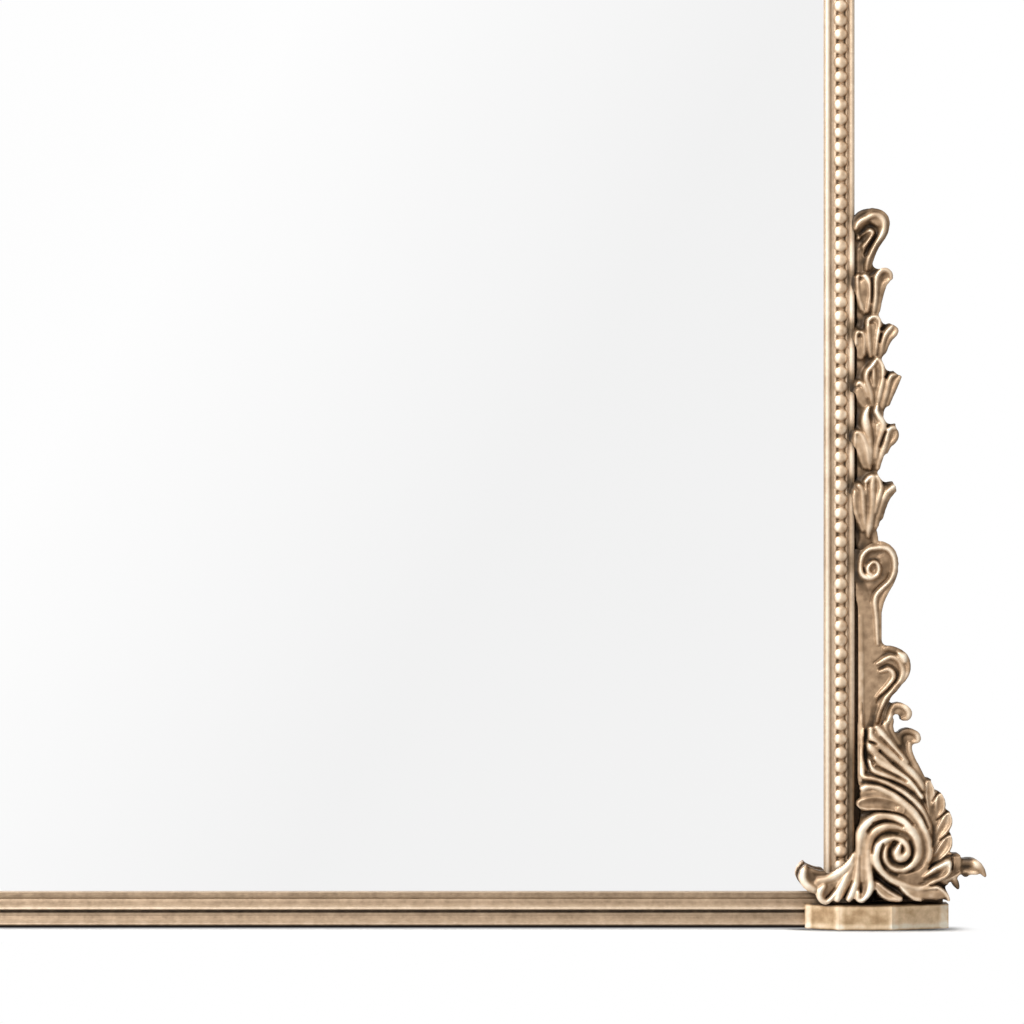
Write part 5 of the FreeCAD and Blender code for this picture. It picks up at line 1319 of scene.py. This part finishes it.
# Floor, background, light and camera.
def white_floor():
    """A white floor that keeps the soft shadow beside the mirror, with a painted contact shadow there, and
    isn't seen in the glass.
    """
    reach = 6.0
    shadow_reach = 0.07
    beside_gain = 4.0
    behind_gain = 2.5
    contact_reach = 0.022
    contact_shade = [(0.50, 0.02), (0.66, 0.07), (0.82, 0.50), (0.94, 0.95)]
    corners = [(-reach, -reach, 0), (reach, -reach, 0), (reach, reach, 0), (-reach, reach, 0)]
    mesh = bpy.data.meshes.new("floor")
    mesh.from_pydata(corners, [], [(0, 1, 2, 3)])
    floor = bpy.data.objects.new("floor", mesh)
    scene.collection.objects.link(floor)
    material, tree, shader, output = new_material("white_floor")
    # Its colour darkens by the openness near the mirror: a painted contact shadow.
    tree.feed(
        shader, Base_Color=tree.ramp(tree.openness(contact_reach), contact_shade), Roughness=1.0,
        Specular_IOR_Level=0.0,
    )

    # Away from the plinths the floor turns into the white background.
    x, y, _ = tree.place()
    beside = tree.math("SUBTRACT", tree.math("ABSOLUTE", x), plinth_high.x)
    beside = tree.math("MULTIPLY", tree.math("MAXIMUM", beside, 0.0), beside_gain)
    ahead = tree.math("MAXIMUM", tree.math("SUBTRACT", plinth_low.y, y), 0.0)
    behind = tree.math("MAXIMUM", tree.math("SUBTRACT", y, plinth_low.y), 0.0)
    behind = tree.math("MULTIPLY", behind, behind_gain)
    squares = tree.math("MULTIPLY", beside, beside)
    for part in (ahead, behind):
        squares = tree.math("MULTIPLY_ADD", part, part, squares)
    away = tree.math("DIVIDE", tree.math("SQRT", squares), shadow_reach)
    white = tree.node("ShaderNodeEmission")
    tree.feed(white, Strength=1.0)
    fade = tree.ramp(away, [(0.0, 0.0), (1.0, 1.0)], "EASE")
    lit = tree.mixed(fade, shader.outputs[0], white.outputs[0])
    clear = tree.node("ShaderNodeBsdfTransparent")
    glossy = tree.node("ShaderNodeLightPath").outputs["Is Glossy Ray"]
    tree.put(output.inputs[0], tree.mixed(glossy, lit, clear.outputs[0]))
    mesh.materials.append(material)


def studio_world():
    """White where the camera looks, a soft diagonal fall in reflections, plain light elsewhere."""
    plain_strength = 0.50
    fall_across = 4.34
    fall_up = -2.475
    fall_start = 0.698
    fall_reach = 4.0
    fall_stops = [(0.066, 1.0), (0.1725, 0.896), (0.32, 0.896), (0.90, 0.20)]
    world = bpy.data.worlds.new("studio")
    scene.world = world
    tree = Tree(world)
    output = tree.node("ShaderNodeOutputWorld")
    parts = tree.node("ShaderNodeSeparateXYZ")
    tree.put(parts.inputs[0], tree.node("ShaderNodeTexCoord").outputs["Generated"])
    place = tree.math("MULTIPLY", parts.outputs[0], fall_across)
    place = tree.math("MULTIPLY_ADD", parts.outputs[2], fall_up, place)
    place = tree.math("DIVIDE", tree.math("ADD", place, fall_start), fall_reach)

    def background(colour, strength):
        made = tree.node("ShaderNodeBackground")
        tree.feed(made, Color=colour, Strength=strength)
        return made.outputs[0]

    white = (1.0, 1.0, 1.0, 1.0)
    path = tree.node("ShaderNodeLightPath").outputs
    mirrored = background(tree.ramp(place, fall_stops), 1.0)
    unseen = tree.mixed(path["Is Glossy Ray"], background(white, plain_strength), mirrored)
    tree.put(output.inputs[0], tree.mixed(path["Is Camera Ray"], unseen, background(white, 1.0)))


def lamp(name, place, aim, size, power):
    """A soft square lamp aimed at a point."""
    data = bpy.data.lights.new(name, "AREA")
    data.shape = "SQUARE"
    data.size = size
    data.energy = power
    made = bpy.data.objects.new(name, data)
    made.location = place
    made.rotation_euler = (Vector(aim) - Vector(place)).to_track_quat("-Z", "Y").to_euler()
    scene.collection.objects.link(made)


def front_camera():
    """Looks straight at the lower right corner, level with it."""
    picture_width = 0.51072
    picture_across = 0.25646
    picture_height = 0.20738
    reference_depth = -0.008
    distance = 2.5
    data = bpy.data.cameras.new("camera")
    data.sensor_width = 36.0
    data.lens = data.sensor_width * distance / picture_width
    data.clip_end = 50.0
    camera = bpy.data.objects.new("camera", data)
    camera.location = (picture_across, reference_depth - distance, picture_height)
    camera.rotation_euler = (math.radians(90), 0, 0)
    scene.collection.objects.link(camera)
    scene.camera = camera


white_floor()
studio_world()
lamp("key", place=(-0.9, -1.6, 1.5), aim=(0.40, 0.0, 0.15), size=0.9, power=62.0)
front_camera()
scene.view_settings.view_transform = "Standard"
